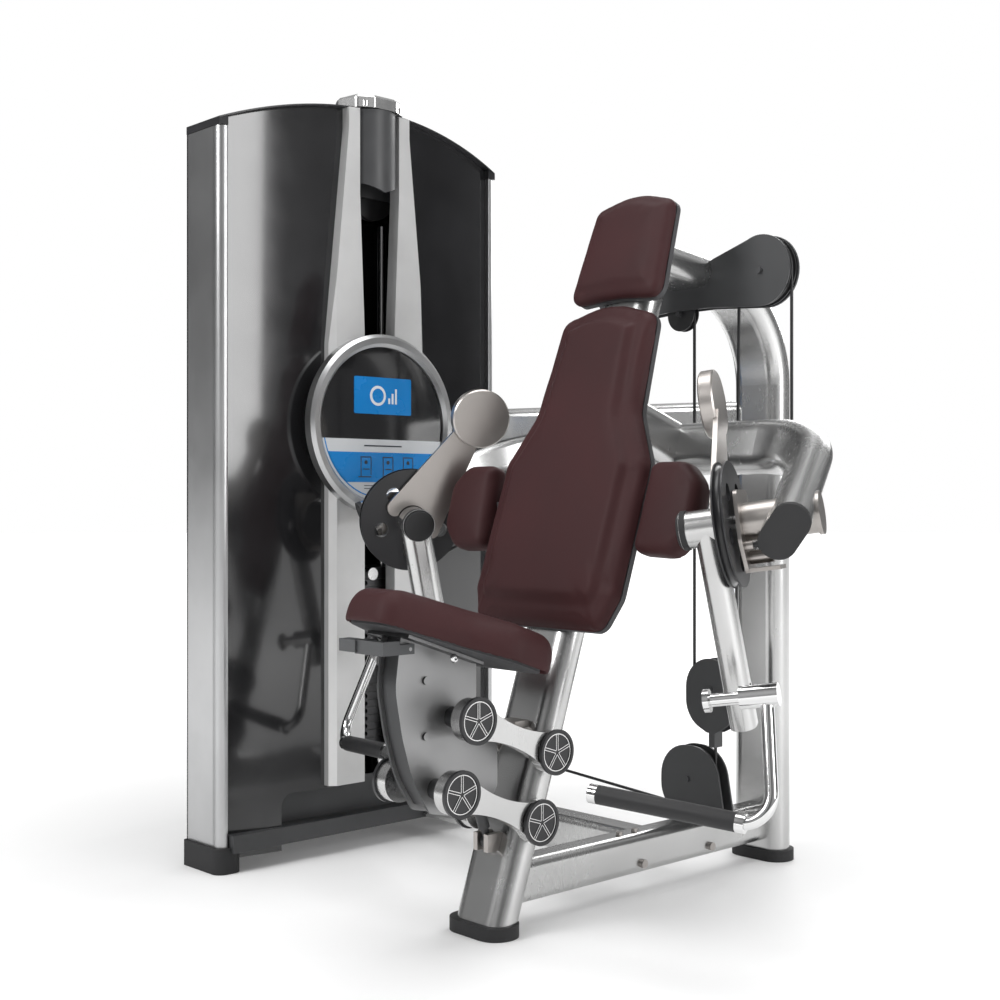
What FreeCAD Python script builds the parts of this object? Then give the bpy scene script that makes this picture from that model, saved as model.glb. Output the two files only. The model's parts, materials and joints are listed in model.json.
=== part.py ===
import FreeCAD, Part
import math
import os

# Selectorised seated machine: inclined post with seat and pads, two lever arms, cable drive, weight tower.
# Millimetres. Origin: middle of the front foot on the floor. +X is the user's left, the user faces -Y, +Z up.

V = FreeCAD.Vector
X_AXIS = V(1, 0, 0)
Y_AXIS = V(0, 1, 0)
Z_AXIS = V(0, 0, 1)
ORIGIN = V(0, 0, 0)

# ---- driving dimensions ----
TUBE_W = 120.0            # main oval tube, wide side
TUBE_T = 60.0             # main oval tube, narrow side
WALL = 3.0
POST_TILT = 19.0          # front post and back pad, degrees back from vertical
FOOT_Z = 6.0              # tube ends stand this high inside the rubber feet
REAR_Y = 775.0            # rear post centre
BEAM_RISE = 6.0           # top beam, degrees up toward the front
BEND_R = 200.0            # rear post to top beam
BEND_TOP_Z = 1143.6       # where post and beam centre lines would cross
BEAM_FRONT_Y = 372.0
FLOOR_BEAM_W = 60.0
FLOOR_BEAM_H = 74.0
FLOOR_BEAM_Z = 76.0
LATERAL_Y = 405.0
CROSS_Y = 432.0           # crossbar of the arm supports
CROSS_Z = 823.6
SUPPORT_H = 100.0
SUPPORT_T = 60.0

PIVOT = V(334.0, 133.0, 682.0)        # inner end of the left arm's pivot axis
PIVOT_DIR = V(0.881, 0.449, 0.139)    # outward
LEVER_SWING = 12.0        # lever hangs this far forward of straight down
LEVER_L = 32.0            # lever centre along the pivot axis
LEVER_LEN = 330.0
WEIGHT_BACK = 32.0        # counterweight arm, degrees back from straight up
WEIGHT_REACH = 240.0
WEIGHT_R = 57.0
CAM_R = 100.0
CAM_PITCH = 94.0
SHAFT_R = 15.0
SWIVEL_DOWN = 270.0       # swivel hole below the hub along the lever
GRIP_OUT = V(485.0, 77.0, 251.0)
GRIP_IN = V(253.0, -2.0, 272.0)
GRIP_R = 15.0
HANDLE_R = 10.5

LINK_UPPER = V(0, 84.5, 305.0)        # fixed pivots of the seat linkage
LINK_LOWER = V(0, 49.0, 192.0)
LINK_ARM = V(0, -178.0, 71.0)         # from a fixed pivot to its moving pivot
PIN_R = 10.0
PLAY = 0.05               # running fit, each side

CABLE_Y = 550.0
CABLE_R = 3.0
UPPER_PULLEY = V(173.0, CABLE_Y, 1156.0)
UPPER_PITCH = 60.0
CENTRE_PULLEY = V(-23.0, CABLE_Y, 1093.0)
CENTRE_PITCH = 28.0
LOWER_PULLEY = V(0, CABLE_Y, 188.0)
LOWER_PITCH = 57.0
BLOCK = V(55.0, CABLE_Y, 367.0)
BLOCK_PITCH = 50.0
IDLER_Z = 825.0
IDLER_PITCH = 30.0
PULLEY_T = 16.0

TOWER_Y = 238.0
TOWER_HALF = 365.0
STACK_X = -690.0
STACK_Z = 210.0
PLATE_COUNT = 22
PLATE_PITCH = 16.0
TOP_PULLEY_Z = 1400.0
TOP_PITCH = 57.0
BASE_PULLEY_PITCH = 22.0
BASE_PULLEY_Z = 202.0
RING = V(-585.0, 235.0, 887.0)
RING_R = 188.0


# ---- helpers ----
def unit(vector):
    result = V(vector)
    result.normalize()
    return result


def frame_at(origin, z_axis, x_axis):
    z = unit(z_axis)
    y = unit(z.cross(x_axis))
    x = y.cross(z)
    return FreeCAD.Placement(FreeCAD.Matrix(
        x.x, y.x, z.x, origin.x,
        x.y, y.y, z.y, origin.y,
        x.z, y.z, z.z, origin.z,
        0, 0, 0, 1))


def placed(shape, origin, z_axis, x_axis=X_AXIS):
    result = shape.copy()
    result.Placement = frame_at(origin, z_axis, x_axis).multiply(result.Placement)
    return result


def mirrored(shape):
    return shape.mirror(ORIGIN, X_AXIS)


def fuse(shapes):
    return shapes[0].multiFuse(shapes[1:]).removeSplitter()


def box(x0, x1, y0, y1, z0, z1):
    return Part.makeBox(x1 - x0, y1 - y0, z1 - z0, V(x0, y0, z0))


def rod(start, end, radius):
    return Part.makeCylinder(radius, (end - start).Length, start, end - start)


def pipe(start, end, outer, inner):
    axis = unit(end - start)
    return rod(start, end, outer).cut(rod(start - axis, end + axis, inner))


def rounded_face(corners):
    """Face in the XY plane through (x, y, radius) corners."""
    count = len(corners)
    joints = []
    for i, (x, y, radius) in enumerate(corners):
        here = V(x, y, 0)
        last = corners[i - 1]
        following = corners[(i + 1) % count]
        before = unit(V(last[0], last[1], 0) - here)
        after = unit(V(following[0], following[1], 0) - here)
        if radius <= 0:
            joints.append((here, None, here))
            continue
        half = before.getAngle(after) / 2
        reach = radius / math.tan(half)
        bisector = unit(before + after)
        middle = here + bisector * (radius / math.sin(half) - radius)
        joints.append((here + before * reach, middle, here + after * reach))
    edges = []
    for i, (start, middle, end) in enumerate(joints):
        if middle is not None:
            edges.append(Part.Arc(start, middle, end).toShape())
        onward = joints[(i + 1) % count][0]
        if (onward - end).Length > 1e-6:
            edges.append(Part.LineSegment(end, onward).toShape())
    return Part.Face(Part.Wire(edges))


def oval_face(width, thick):
    side = width / 2
    half = thick / 2
    radius = half - 0.01
    return rounded_face([(-side, -half, radius), (side, -half, radius),
                         (side, half, radius), (-side, half, radius)])


def bar(face, start, end, width_axis):
    axis = end - start
    return placed(face.extrude(V(0, 0, axis.Length)), start, axis, width_axis)


def side_prism(corners, x0, x1):
    """Prism between two X planes; corners are (y, z, radius)."""
    flat = rounded_face(corners).extrude(V(0, 0, x1 - x0))
    return placed(flat, V(x0, 0, 0), X_AXIS, Y_AXIS)


def front_prism(corners, y0, y1):
    """Prism between two Y planes; corners are (x, z, radius)."""
    flat = rounded_face([(x, -z, radius) for x, z, radius in corners]).extrude(V(0, 0, y1 - y0))
    return placed(flat, V(0, y0, 0), Y_AXIS, X_AXIS)


def beyond(point, normal, size=3000.0):
    """Large block on the far side of a plane, for trimming."""
    block = Part.makeBox(size, size, size, V(-size / 2, -size / 2, 0))
    sideways = Y_AXIS if abs(unit(normal).x) > 0.9 else X_AXIS
    return placed(block, point, normal, sideways)


def swept(face, path):
    return Part.Wire(path).makePipe(face)


def bend(start, corner, end, radius):
    """Edges of a line, a tangent arc and a line."""
    before = unit(start - corner)
    after = unit(end - corner)
    half = before.getAngle(after) / 2
    reach = radius / math.tan(half)
    bisector = unit(before + after)
    first = corner + before * reach
    last = corner + after * reach
    middle = corner + bisector * (radius / math.sin(half) - radius)
    return [Part.LineSegment(start, first).toShape(),
            Part.Arc(first, middle, last).toShape(),
            Part.LineSegment(last, end).toShape()]


def largest(shape):
    return max(shape.Solids, key=lambda solid: solid.Volume)


def save(name, *shapes):
    solids = []
    for shape in shapes:
        solids.extend(shape.Solids)
    result = solids[0] if len(solids) == 1 else Part.makeCompound(solids)
    result.exportStep("parts/" + name + ".step")
    print(name, len(solids), round(sum(solid.Volume for solid in solids) / 1000), all(s.isValid() for s in solids))


def post_at(length, forward=0.0, x=0.0):
    """Point on the inclined post: distance up its axis, and distance toward the user."""
    tilt = math.radians(POST_TILT)
    up = V(0, math.sin(tilt), math.cos(tilt))
    out = V(0, -math.cos(tilt), math.sin(tilt))
    return V(x, 0, 0) + up * length + out * forward


POST_UP = post_at(1.0)
POST_OUT = post_at(0.0, 1.0)

# ---- frame tubes ----
rise = math.radians(BEAM_RISE)
BEAM_DIR = V(0, -math.cos(rise), math.sin(rise))
BEAM_CORNER = V(0, REAR_Y, BEND_TOP_Z)
BEAM_FRONT = BEAM_CORNER + BEAM_DIR * ((REAR_Y - BEAM_FRONT_Y) / math.cos(rise))


def rear_post_solid(shrink, foot_z, front_trim):
    face = placed(oval_face(TUBE_W - 2 * shrink, TUBE_T - 2 * shrink), V(0, REAR_Y, foot_z), Z_AXIS, X_AXIS)
    path = bend(V(0, REAR_Y, foot_z), BEAM_CORNER, BEAM_FRONT - BEAM_DIR * front_trim, BEND_R)
    return swept(face, path)


def front_post_solid(shrink):
    post = bar(oval_face(TUBE_W - 2 * shrink, TUBE_T - 2 * shrink), post_at(-30), post_at(1330), X_AXIS)
    under_beam = BEAM_CORNER - V(0, math.sin(rise), math.cos(rise)) * (TUBE_T / 2)
    post = post.cut(beyond(V(0, 0, FOOT_Z), V(0, 0, -1)))
    return post.cut(beyond(under_beam, V(0, math.sin(rise), math.cos(rise))))


rear_outer = rear_post_solid(0, FOOT_Z, 0)
front_outer = front_post_solid(0)
rear_post = rear_outer.cut(rear_post_solid(WALL, FOOT_Z - 5, WALL))
save("front_post", front_outer.cut(front_post_solid(WALL)))


def floor_tube(start, end, shrink):
    half_w = FLOOR_BEAM_W / 2 - shrink
    half_h = FLOOR_BEAM_H / 2 - shrink
    face = rounded_face([(-half_w, -half_h, 16 - shrink), (half_w, -half_h, 16 - shrink),
                         (half_w, half_h, 16 - shrink), (-half_w, half_h, 16 - shrink)])
    sideways = Z_AXIS.cross(unit(end - start))
    return bar(face, start, end, sideways)


floor_start = V(0, 10, FLOOR_BEAM_Z)
floor_end = V(0, REAR_Y, FLOOR_BEAM_Z)
floor_outer = floor_tube(floor_start, floor_end, 0)
floor_beam = floor_outer.cut(floor_tube(floor_start, floor_end, WALL)).cut(front_outer).cut(rear_outer)
floor_beam = largest(floor_beam.cut(front_post_solid(WALL)).cut(rear_post_solid(WALL, FOOT_Z, 0)))
save("floor_beam", floor_beam)

lateral_start = V(-FLOOR_BEAM_W / 2 + 14, LATERAL_Y, FLOOR_BEAM_Z)
lateral_end = V(-606, LATERAL_Y, FLOOR_BEAM_Z)
lateral = floor_tube(lateral_start, lateral_end, 0).cut(floor_tube(lateral_start, lateral_end, WALL))
lateral = largest(lateral.cut(floor_outer))
save("lateral_beam", lateral)


# ---- arm supports: stub from the post, crossbar, bent leg to the outer end ----
def support_solid(shrink):
    face = oval_face(SUPPORT_H - 2 * shrink, SUPPORT_T - 2 * shrink)
    corner = V(55, CROSS_Y, CROSS_Z)
    back = V(0, -POST_OUT.y, -POST_OUT.z)
    stub = bar(face, corner - back * 160, corner + back * 80, POST_UP)
    mitre = unit(back + X_AXIS)
    stub = stub.cut(beyond(corner, mitre))
    start = V(-60, CROSS_Y, CROSS_Z)
    knee = V(367, CROSS_Y, CROSS_Z)
    tip = V(507, 150, 685) - unit(V(507, 150, 685) - knee) * shrink
    leg = swept(placed(face, start, X_AXIS, POST_UP), bend(start, knee, tip, 165.0))
    leg = leg.cut(beyond(corner, mitre * -1))
    return stub.fuse(leg)


axis_dir = unit(PIVOT_DIR)


def pivot_at(length):
    return PIVOT + axis_dir * length


support_outer = support_solid(0)
housing_room = rod(pivot_at(60), pivot_at(230), 31.0)
arm_support = support_outer.cut(support_solid(WALL)).cut(front_outer).cut(housing_room)


# ---- pivot axis frame of the left arm: X outward, Y back, Z up ----
axis_up = unit(Z_AXIS - axis_dir * axis_dir.z)
axis_back = axis_up.cross(axis_dir)


def on_pivot(shape):
    return placed(shape, PIVOT, axis_up, axis_dir)


def arm_point(length, back, up):
    return PIVOT + axis_dir * length + axis_back * back + axis_up * up


def axial(length0, length1, radius, back=0.0, up=0.0):
    return Part.makeCylinder(radius, length1 - length0, V(length0, back, up), X_AXIS)


def tilted(shape, degrees):
    """Turn a shape about the pivot axis; positive leans its top back."""
    result = shape.copy()
    result.rotate(ORIGIN, X_AXIS, -degrees)
    return result


def cap_solid():
    tip = V(507, 150, 685)
    along = unit(tip - V(367, CROSS_Y, CROSS_Z))
    probe = support_outer.cut(beyond(tip - along * 2.0, along))
    end_face = min(probe.Faces, key=lambda face: face.CenterOfMass.distanceToPoint(tip))
    plug = end_face.extrude(along * 10.0)
    return plug.cut(support_outer)


def lever_solid():
    outer = oval_face(58.0, 42.0).extrude(V(0, 0, -LEVER_LEN))
    inner = oval_face(52.0, 36.0).extrude(V(0, 0, -LEVER_LEN + 3))
    turn = FreeCAD.Rotation(Z_AXIS, 90)
    for bar_shape in (outer, inner):
        bar_shape.Placement = FreeCAD.Placement(V(LEVER_L, 0, 0), turn)
    hub = axial(0, 60, 29.5)
    shaft = axial(60, 206, SHAFT_R)
    swivel_hole = axial(0, 70, PIN_R + PLAY, up=-SWIVEL_DOWN)
    tube = outer.cut(inner).cut(hub)
    sleeve = axial(LEVER_L - 21, LEVER_L + 21, 15.0, up=-SWIVEL_DOWN)
    blank = fuse([tube, hub, shaft, sleeve])
    return tilted(blank.cut(swivel_hole), -LEVER_SWING)


def weight_solid():
    disc = axial(29, 54, WEIGHT_R, up=WEIGHT_REACH)
    disc = disc.makeChamfer(2.5, [edge for edge in disc.Edges if len(edge.Vertexes) == 1])
    outline = [(-25, WEIGHT_REACH - 30, 0), (-60, -2, 16), (-38, -22, 14), (-22, 12, 0),
               (22, 12, 0), (38, -22, 14), (60, -2, 16), (25, WEIGHT_REACH - 30, 0)]
    plate = side_prism(outline, 49, 57)
    plate = plate.cut(axial(40, 70, 31.0))
    return tilted(fuse([disc, plate]), WEIGHT_BACK)


def groove_ring(x0, x1, outer, depth):
    """Revolved wheel blank about X with a round-bottomed groove."""
    middle = (x0 + x1) / 2
    half = (x1 - x0) / 2
    bottom = outer - depth
    profile = Part.Wire([
        Part.LineSegment(V(x0, 0, 0), V(x0, 0, outer)).toShape(),
        Part.LineSegment(V(x0, 0, outer), V(middle - half * 0.7, 0, outer)).toShape(),
        Part.Arc(V(middle - half * 0.7, 0, outer), V(middle, 0, bottom),
                 V(middle + half * 0.7, 0, outer)).toShape(),
        Part.LineSegment(V(middle + half * 0.7, 0, outer), V(x1, 0, outer)).toShape(),
        Part.LineSegment(V(x1, 0, outer), V(x1, 0, 0)).toShape(),
        Part.LineSegment(V(x1, 0, 0), V(x0, 0, 0)).toShape()])
    return Part.Face(profile).revolve(ORIGIN, X_AXIS, 360)


def cam_solid():
    wheel = groove_ring(60, 78, CAM_R, CAM_R - CAM_PITCH + CABLE_R + 0.4)
    wheel = wheel.cut(axial(50, 90, SHAFT_R))
    for index in range(5):
        angle = math.radians(36 + 72 * index)
        wheel = wheel.cut(axial(50, 90, 14.0, back=62 * math.sin(angle), up=62 * math.cos(angle)))
    return wheel


def bracket_solid():
    outline = [(-46, 52, 14), (-52, -30, 20), (-26, -78, 12), (30, -78, 12), (50, -30, 20), (46, 52, 14)]
    plate = side_prism(outline, 86, 92)
    flange = side_prism([(-26, -78, 0), (-26, -72, 0), (30, -72, 0), (30, -78, 0)], 86, 140)
    housing = axial(86, 204, 30.9)
    ring = axial(204, 211, 34.0)
    stop = axial(92, 128, 11.0, back=0, up=-55)
    bore = axial(80, 206.5, SHAFT_R + PLAY)
    guide = axial(92, 104, 8.0, back=-26, up=-36)
    knob_hole = axial(80, 130, 4.0 + PLAY, back=-26, up=-36)
    return fuse([plate, flange, housing, ring, stop, guide]).cut(bore).cut(knob_hole)


def knob_solid():
    return fuse([axial(88, 112, 4.0, back=-26, up=-36), side_prism(
        [(-35, -45, 3), (-35, -27, 3), (-17, -27, 3), (-17, -45, 3)], 112, 132)])


swivel = arm_point(LEVER_L, 0, 0)
lever_tilt = math.radians(LEVER_SWING)
LEVER_DIR = axis_up * -math.cos(lever_tilt) - axis_back * math.sin(lever_tilt)
swivel = swivel + LEVER_DIR * SWIVEL_DOWN


def handle_solid():
    grip_dir = unit(GRIP_OUT - GRIP_IN)
    top = swivel + axis_dir * 66 - Z_AXIS * 6
    knee = GRIP_OUT + grip_dir * 46
    path = bend(top, knee, GRIP_IN - grip_dir * 4, 42.0)
    section = placed(Part.Face(Part.Wire(Part.makeCircle(HANDLE_R))), top, knee - top, X_AXIS)
    tube = swept(section, path)
    hub = rod(swivel + axis_dir * 25, swivel + axis_dir * 84, 18.0)
    pin = rod(swivel - axis_dir * 31, swivel + axis_dir * 30, PIN_R)
    head = rod(swivel - axis_dir * 31, swivel - axis_dir * 22, 18.0)
    collars = [rod(GRIP_IN - grip_dir * 4, GRIP_IN + grip_dir * 10, GRIP_R),
               rod(GRIP_OUT - grip_dir * 10, GRIP_OUT + grip_dir * 4, GRIP_R)]
    return fuse([tube, hub, pin, head] + collars)


def grip_solid():
    grip_dir = unit(GRIP_OUT - GRIP_IN)
    return pipe(GRIP_IN + grip_dir * 10, GRIP_OUT - grip_dir * 10, GRIP_R, HANDLE_R)


end_cap = cap_solid()
lever = on_pivot(lever_solid())
hub_cap = on_pivot(fuse([axial(-9, 0, 31.0), axial(-13, -9, 27.0)]))
arm_pieces = {
    "lever": [lever, hub_cap],
    "counterweight": [on_pivot(weight_solid())],
    "cam": [on_pivot(cam_solid())],
    "handle": [handle_solid()],
    "grip": [grip_solid()],
    "pull_knob": [on_pivot(knob_solid())],
}
arm_pieces["counterweight"] = [arm_pieces["counterweight"][0].cut(lever)]
for piece, solids in arm_pieces.items():
    save("left_" + piece, *solids)
    save("right_" + piece, *[mirrored(solid) for solid in solids])
bracket = on_pivot(bracket_solid())
save("pivot_brackets", bracket, mirrored(bracket))
knob_room = on_pivot(axial(86, 148, 14.5, back=-26, up=-36))
arm_support = largest(arm_support.cut(knob_room).cut(bracket))
save("arm_supports", arm_support, mirrored(arm_support))

# ---- seat linkage ----
upper_moving = LINK_UPPER + LINK_ARM
lower_moving = LINK_LOWER + LINK_ARM
SIDE_PLATE_X = 22.0
LINK_X0 = 62.0
LINK_X1 = 86.0
LINK_R = 35.0


def link_solid(fixed, moving):
    length = LINK_ARM.Length
    waist = Part.Face(Part.Wire([
        Part.Arc(V(18, 29, 0), V(length / 2, 17, 0), V(length - 18, 29, 0)).toShape(),
        Part.LineSegment(V(length - 18, 29, 0), V(length - 18, -29, 0)).toShape(),
        Part.Arc(V(length - 18, -29, 0), V(length / 2, -17, 0), V(18, -29, 0)).toShape(),
        Part.LineSegment(V(18, -29, 0), V(18, 29, 0)).toShape()]))
    web = placed(waist.extrude(V(0, 0, 18)), fixed + X_AXIS * (LINK_X0 + 4), X_AXIS, moving - fixed)
    shape = [web]
    for centre in (fixed, moving):
        shape.append(rod(centre + X_AXIS * LINK_X0, centre + X_AXIS * LINK_X1, LINK_R))
    link = fuse(shape)
    for centre in (fixed, moving):
        link = link.cut(rod(centre + X_AXIS * 50, centre + X_AXIS * 90, PIN_R + PLAY))
    return link


def link_cap(centre):
    disc = rod(centre + X_AXIS * LINK_X1, centre + X_AXIS * (LINK_X1 + 6), 38.5)
    return disc.cut(rod(centre + X_AXIS * (LINK_X1 + 3), centre + X_AXIS * (LINK_X1 + 9), 33.0))


for prefix, fixed, moving in (("upper", LINK_UPPER, upper_moving), ("lower", LINK_LOWER, lower_moving)):
    link = link_solid(fixed, moving)
    save(prefix + "_seat_links", link, mirrored(link))
    caps = [link_cap(fixed), link_cap(moving)]
    save(prefix + "_link_caps", *(caps + [mirrored(cap) for cap in caps]))

post_pins = []
for centre in (LINK_UPPER, LINK_LOWER):
    pin = rod(centre + X_AXIS * 40, centre + X_AXIS * 85, PIN_R)
    boss = rod(centre + X_AXIS * 40, centre + X_AXIS * (LINK_X0 - 0.3), 17.0)
    stub = largest(fuse([pin, boss]).cut(front_outer))
    post_pins.extend([stub, mirrored(stub)])

SEAT_SLOPE = math.tan(math.radians(19.0))
SEAT_REF = V(0, -246.0, 534.0)          # underside of the seat board at its nose


def under_seat(y):
    return SEAT_REF.z - (y - SEAT_REF.y) * SEAT_SLOPE


LEVER_PIN = V(0, -190.0, 494.0)         # pivot of the seat height lever


def carriage_solid():
    outline = [(-200, under_seat(-200) - 1, 0), (-212, 430, 120), (-198, 354, 200), (-177, 283, 200),
               (-140, 224, 14), (-60, 206, 60), (-16, 216, 12), (8, 250, 12), (8, 372, 20),
               (-40, 396, 12), (-40, under_seat(-40) - 1, 0)]
    side = side_prism(outline, SIDE_PLATE_X - 2.5, SIDE_PLATE_X + 2.5)
    band_outline = [(-192, under_seat(-192) - 6, 0), (-206, 430, 120), (-192, 354, 200), (-171, 285, 200),
                    (-138, 234, 0), (-60, 234, 0), (-60, under_seat(-192) - 6, 0)]
    band = side_prism(band_outline, -SIDE_PLATE_X + 2.5, SIDE_PLATE_X - 2.5)
    band = largest(band.cut(band.translated(Y_AXIS * 4)))
    shapes = [side, mirrored(side), band]
    for y, z in ((-150, 440), (-150, 350)):
        shapes.append(rod(V(-SIDE_PLATE_X - 7, y, z), V(SIDE_PLATE_X + 7, y, z), 6.5))
    shapes.append(rod(V(-36, LEVER_PIN.y, LEVER_PIN.z), V(36, LEVER_PIN.y, LEVER_PIN.z), 3.0))
    for centre, pin_radius in ((upper_moving, PIN_R), (lower_moving, PIN_R - 0.3)):
        shapes.append(rod(centre - X_AXIS * 85, centre + X_AXIS * 85, pin_radius))
        shapes.append(rod(centre - X_AXIS * (LINK_X0 - 0.3), centre + X_AXIS * (LINK_X0 - 0.3), 17.0))
    corner = V(0, -206, under_seat(-206))
    slope_dir = unit(V(0, 1, -SEAT_SLOPE))
    table = placed(box(0, 168, -52, 52, -6, -1), corner, V(0, SEAT_SLOPE, 1), slope_dir)
    shapes.append(table)
    return fuse(shapes)


spring_low = V(0, 8.0, 152.0)
spring_high = V(0, -72.0, 398.0)
spring_dir = unit(spring_high - spring_low)
carriage = carriage_solid()
carriage = carriage.cut(rod(spring_high - X_AXIS * 14, spring_high + X_AXIS * 14, 15.0))
save("seat_carriage", carriage)

cylinder = rod(spring_low + spring_dir * 26, spring_low + spring_dir * 142, 10.0)
neck = rod(spring_low, spring_low + spring_dir * 28, 6.5)
cylinder = fuse([cylinder, neck, rod(spring_low - X_AXIS * 7, spring_low + X_AXIS * 7, 11.0)])
cylinder = cylinder.cut(rod(spring_low + spring_dir * 29, spring_low + spring_dir * 150, 5.0 + PLAY))
cylinder = cylinder.cut(rod(spring_low - X_AXIS * 20, spring_low + X_AXIS * 20, 5.0 + PLAY))
save("gas_spring_cylinder", cylinder)
eye = rod(spring_high - X_AXIS * 7, spring_high + X_AXIS * 7, 9.0)
gas_rod = fuse([rod(spring_low + spring_dir * 122, spring_high, 5.0), eye])
save("gas_spring_rod", gas_rod)

clevis = fuse([box(-18, -8, -8, 60, 138, 168), box(8, 18, -8, 60, 138, 168)])
clevis = clevis.cut(front_outer)
clevis = [largest(half) for half in (clevis.common(box(-30, 0, -60, 90, 100, 200)),
                                     clevis.common(box(0, 30, -60, 90, 100, 200)))]
clevis_pin = rod(V(-18, 8, 152), V(18, 8, 152), 5.0)
stop_block = box(-22, 22, 52, 110, 340, 352).cut(front_outer)
stop_block = largest(stop_block.common(box(-30, 30, 30, 84, 300, 400)))
post_fittings = post_pins + [fuse(clevis + [clevis_pin]), stop_block]

seat_lever = fuse([box(-72, -30, -250, -228, 488, 508), box(-36, 36, -246, -212, 486, 508),
                   box(-36, 36, -214, -182, 486, 502)])
seat_lever = seat_lever.cut(box(-26, 26, -230, -170, 480, 520))
seat_lever = seat_lever.cut(rod(LEVER_PIN - X_AXIS * 40, LEVER_PIN + X_AXIS * 40, 3.0 + PLAY))
save("seat_lever", seat_lever)

# ---- upholstery ----
slope_dir = unit(V(0, 1, -SEAT_SLOPE))
slope_up = unit(V(0, SEAT_SLOPE, 1))


def on_seat(shape):
    """Seat frame: X right way round, Y back along the slope, Z square to it."""
    return placed(shape, SEAT_REF, slope_up, X_AXIS)


seat_outline = [(-48, -6, 30), (48, -6, 30), (100, 118, 120), (144, 190, 60), (142, 272, 36),
                (-142, 272, 36), (-144, 190, 60), (-100, 118, 120)]
board = rounded_face(seat_outline).extrude(V(0, 0, 12))
save("seat_board", on_seat(board))
pad_outline = [(x * 1.1, y - 14 if y < 0 else y + 12 if y > 250 else y, r + 8) for x, y, r in seat_outline]
seat_pad = rounded_face(pad_outline).extrude(V(0, 0, 50))
seat_pad.translate(V(0, 0, 12.3))
save("seat_pad", on_seat(seat_pad))


def on_post(shape, length, forward):
    """Post frame: X across, Y up the post, Z out toward the user."""
    return placed(shape, post_at(length, forward), POST_OUT, X_AXIS)


BACK_LOW = 522.0
BOARD_T = 10.0
PAD_T = 30.0
back_outline = [(-152, 0, 26), (152, 0, 26), (176, 60, 40), (176, 300, 60), (126, 396, 70), (112, 586, 34),
                (0, 618, 240), (-112, 586, 34), (-126, 396, 70), (-176, 300, 60), (-176, 60, 40)]
back_board = on_post(rounded_face(back_outline).extrude(V(0, 0, BOARD_T)), BACK_LOW, 31)
back_pad = on_post(rounded_face(back_outline).extrude(V(0, 0, PAD_T)), BACK_LOW, 31 + BOARD_T + 0.3)
save("back_pad", back_pad)
HEAD_LOW = 1140.0
head_outline = [(-109, 0, 24), (0, 10, 300), (109, 0, 24), (94, 196, 26), (0, 222, 200), (-94, 196, 26)]
head_board = on_post(rounded_face(head_outline).extrude(V(0, 0, BOARD_T)), HEAD_LOW, 31)
head_pad = on_post(rounded_face(head_outline).extrude(V(0, 0, PAD_T)), HEAD_LOW, 31 + BOARD_T + 0.3)
save("head_pad", head_pad)

WING_TILT = math.radians(15.0)
WING_T = 45.0
wing_outline = [(184, 0, 18), (268, -4, 40), (304, 36, 40), (304, 124, 46), (266, 160, 34), (194, 160, 20)]
wing_low = V(0, 199.0, 633.5)
wing_out = V(0, -math.cos(WING_TILT), math.sin(WING_TILT))


def on_wing(shape):
    return placed(shape, wing_low, wing_out, X_AXIS)


wing_pad = on_wing(rounded_face(wing_outline).extrude(V(0, 0, WING_T)))
wing_board = on_wing(rounded_face([(x + (8 if x < 250 else -8), y + (8 if y < 100 else -8), max(r - 8, 12))
                                   for x, y, r in wing_outline]).extrude(V(0, 0, -BOARD_T)))
wing_arm = box(100, 270, 205, 240, 694, 726)
for blocker in (back_board, back_pad, wing_pad, wing_board):
    wing_arm = wing_arm.cut(blocker)
wing_board = fuse([wing_board, largest(wing_arm)])
save("left_wing_pad", wing_pad)
save("right_wing_pad", mirrored(wing_pad))
save("pad_boards", back_board, head_board, wing_board, mirrored(wing_board))

# ---- pulleys and cables ----
def wheel_at(centre, pitch, thick, axis=Y_AXIS, bore=6.0):
    wheel = groove_ring(-thick / 2, thick / 2, pitch + 5, 5 + CABLE_R + 0.4)
    wheel = wheel.cut(Part.makeCylinder(bore + PLAY, thick + 10, V(-thick / 2 - 5, 0, 0), X_AXIS))
    return placed(wheel, centre, axis.cross(Z_AXIS) if abs(axis.z) < 0.5 else X_AXIS, axis)


def tangent(first, second):
    """Points where a straight run leaves one circle and meets the next; (u, v, signed radius)."""
    du = second[0] - first[0]
    dv = second[1] - first[1]
    gap = math.hypot(du, dv)
    lean = (second[2] - first[2]) / gap
    side = math.sqrt(1 - lean * lean)
    nu = du / gap * lean - dv / gap * side
    nv = dv / gap * lean + du / gap * side
    return ((first[0] - first[2] * nu, first[1] - first[2] * nv),
            (second[0] - second[2] * nu, second[1] - second[2] * nv))


def route(circles, place):
    """Edges of a cable round circles (u, v, signed radius) in one plane; place maps (u, v) to space."""
    runs = [tangent(circles[i], circles[i + 1]) for i in range(len(circles) - 1)]
    edges = []
    for i, (start, end) in enumerate(runs):
        if math.dist(start, end) > 0.01:
            edges.append(Part.LineSegment(place(*start), place(*end)).toShape())
        if i + 1 < len(runs):
            u, v, radius = circles[i + 1]
            a0 = math.atan2(end[1] - v, end[0] - u)
            leave = runs[i + 1][0]
            a1 = math.atan2(leave[1] - v, leave[0] - u)
            turn = (a1 - a0) % (2 * math.pi) if radius > 0 else -((a0 - a1) % (2 * math.pi))
            middle = a0 + turn / 2
            size = abs(radius)
            edges.append(Part.Arc(place(*end),
                                  place(u + size * math.cos(middle), v + size * math.sin(middle)),
                                  place(*leave)).toShape())
    return edges


def cable(edges, radius=CABLE_R):
    wire = Part.Wire(edges)
    start = edges[0].Vertexes[0].Point
    direction = edges[0].tangentAt(edges[0].FirstParameter)
    section = placed(Part.Face(Part.Wire(Part.makeCircle(radius))), start, direction,
                     X_AXIS if abs(direction.x) < 0.9 else Y_AXIS)
    return wire.makePipe(section)


def across(x, z):
    return V(x, CABLE_Y, z)


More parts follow.
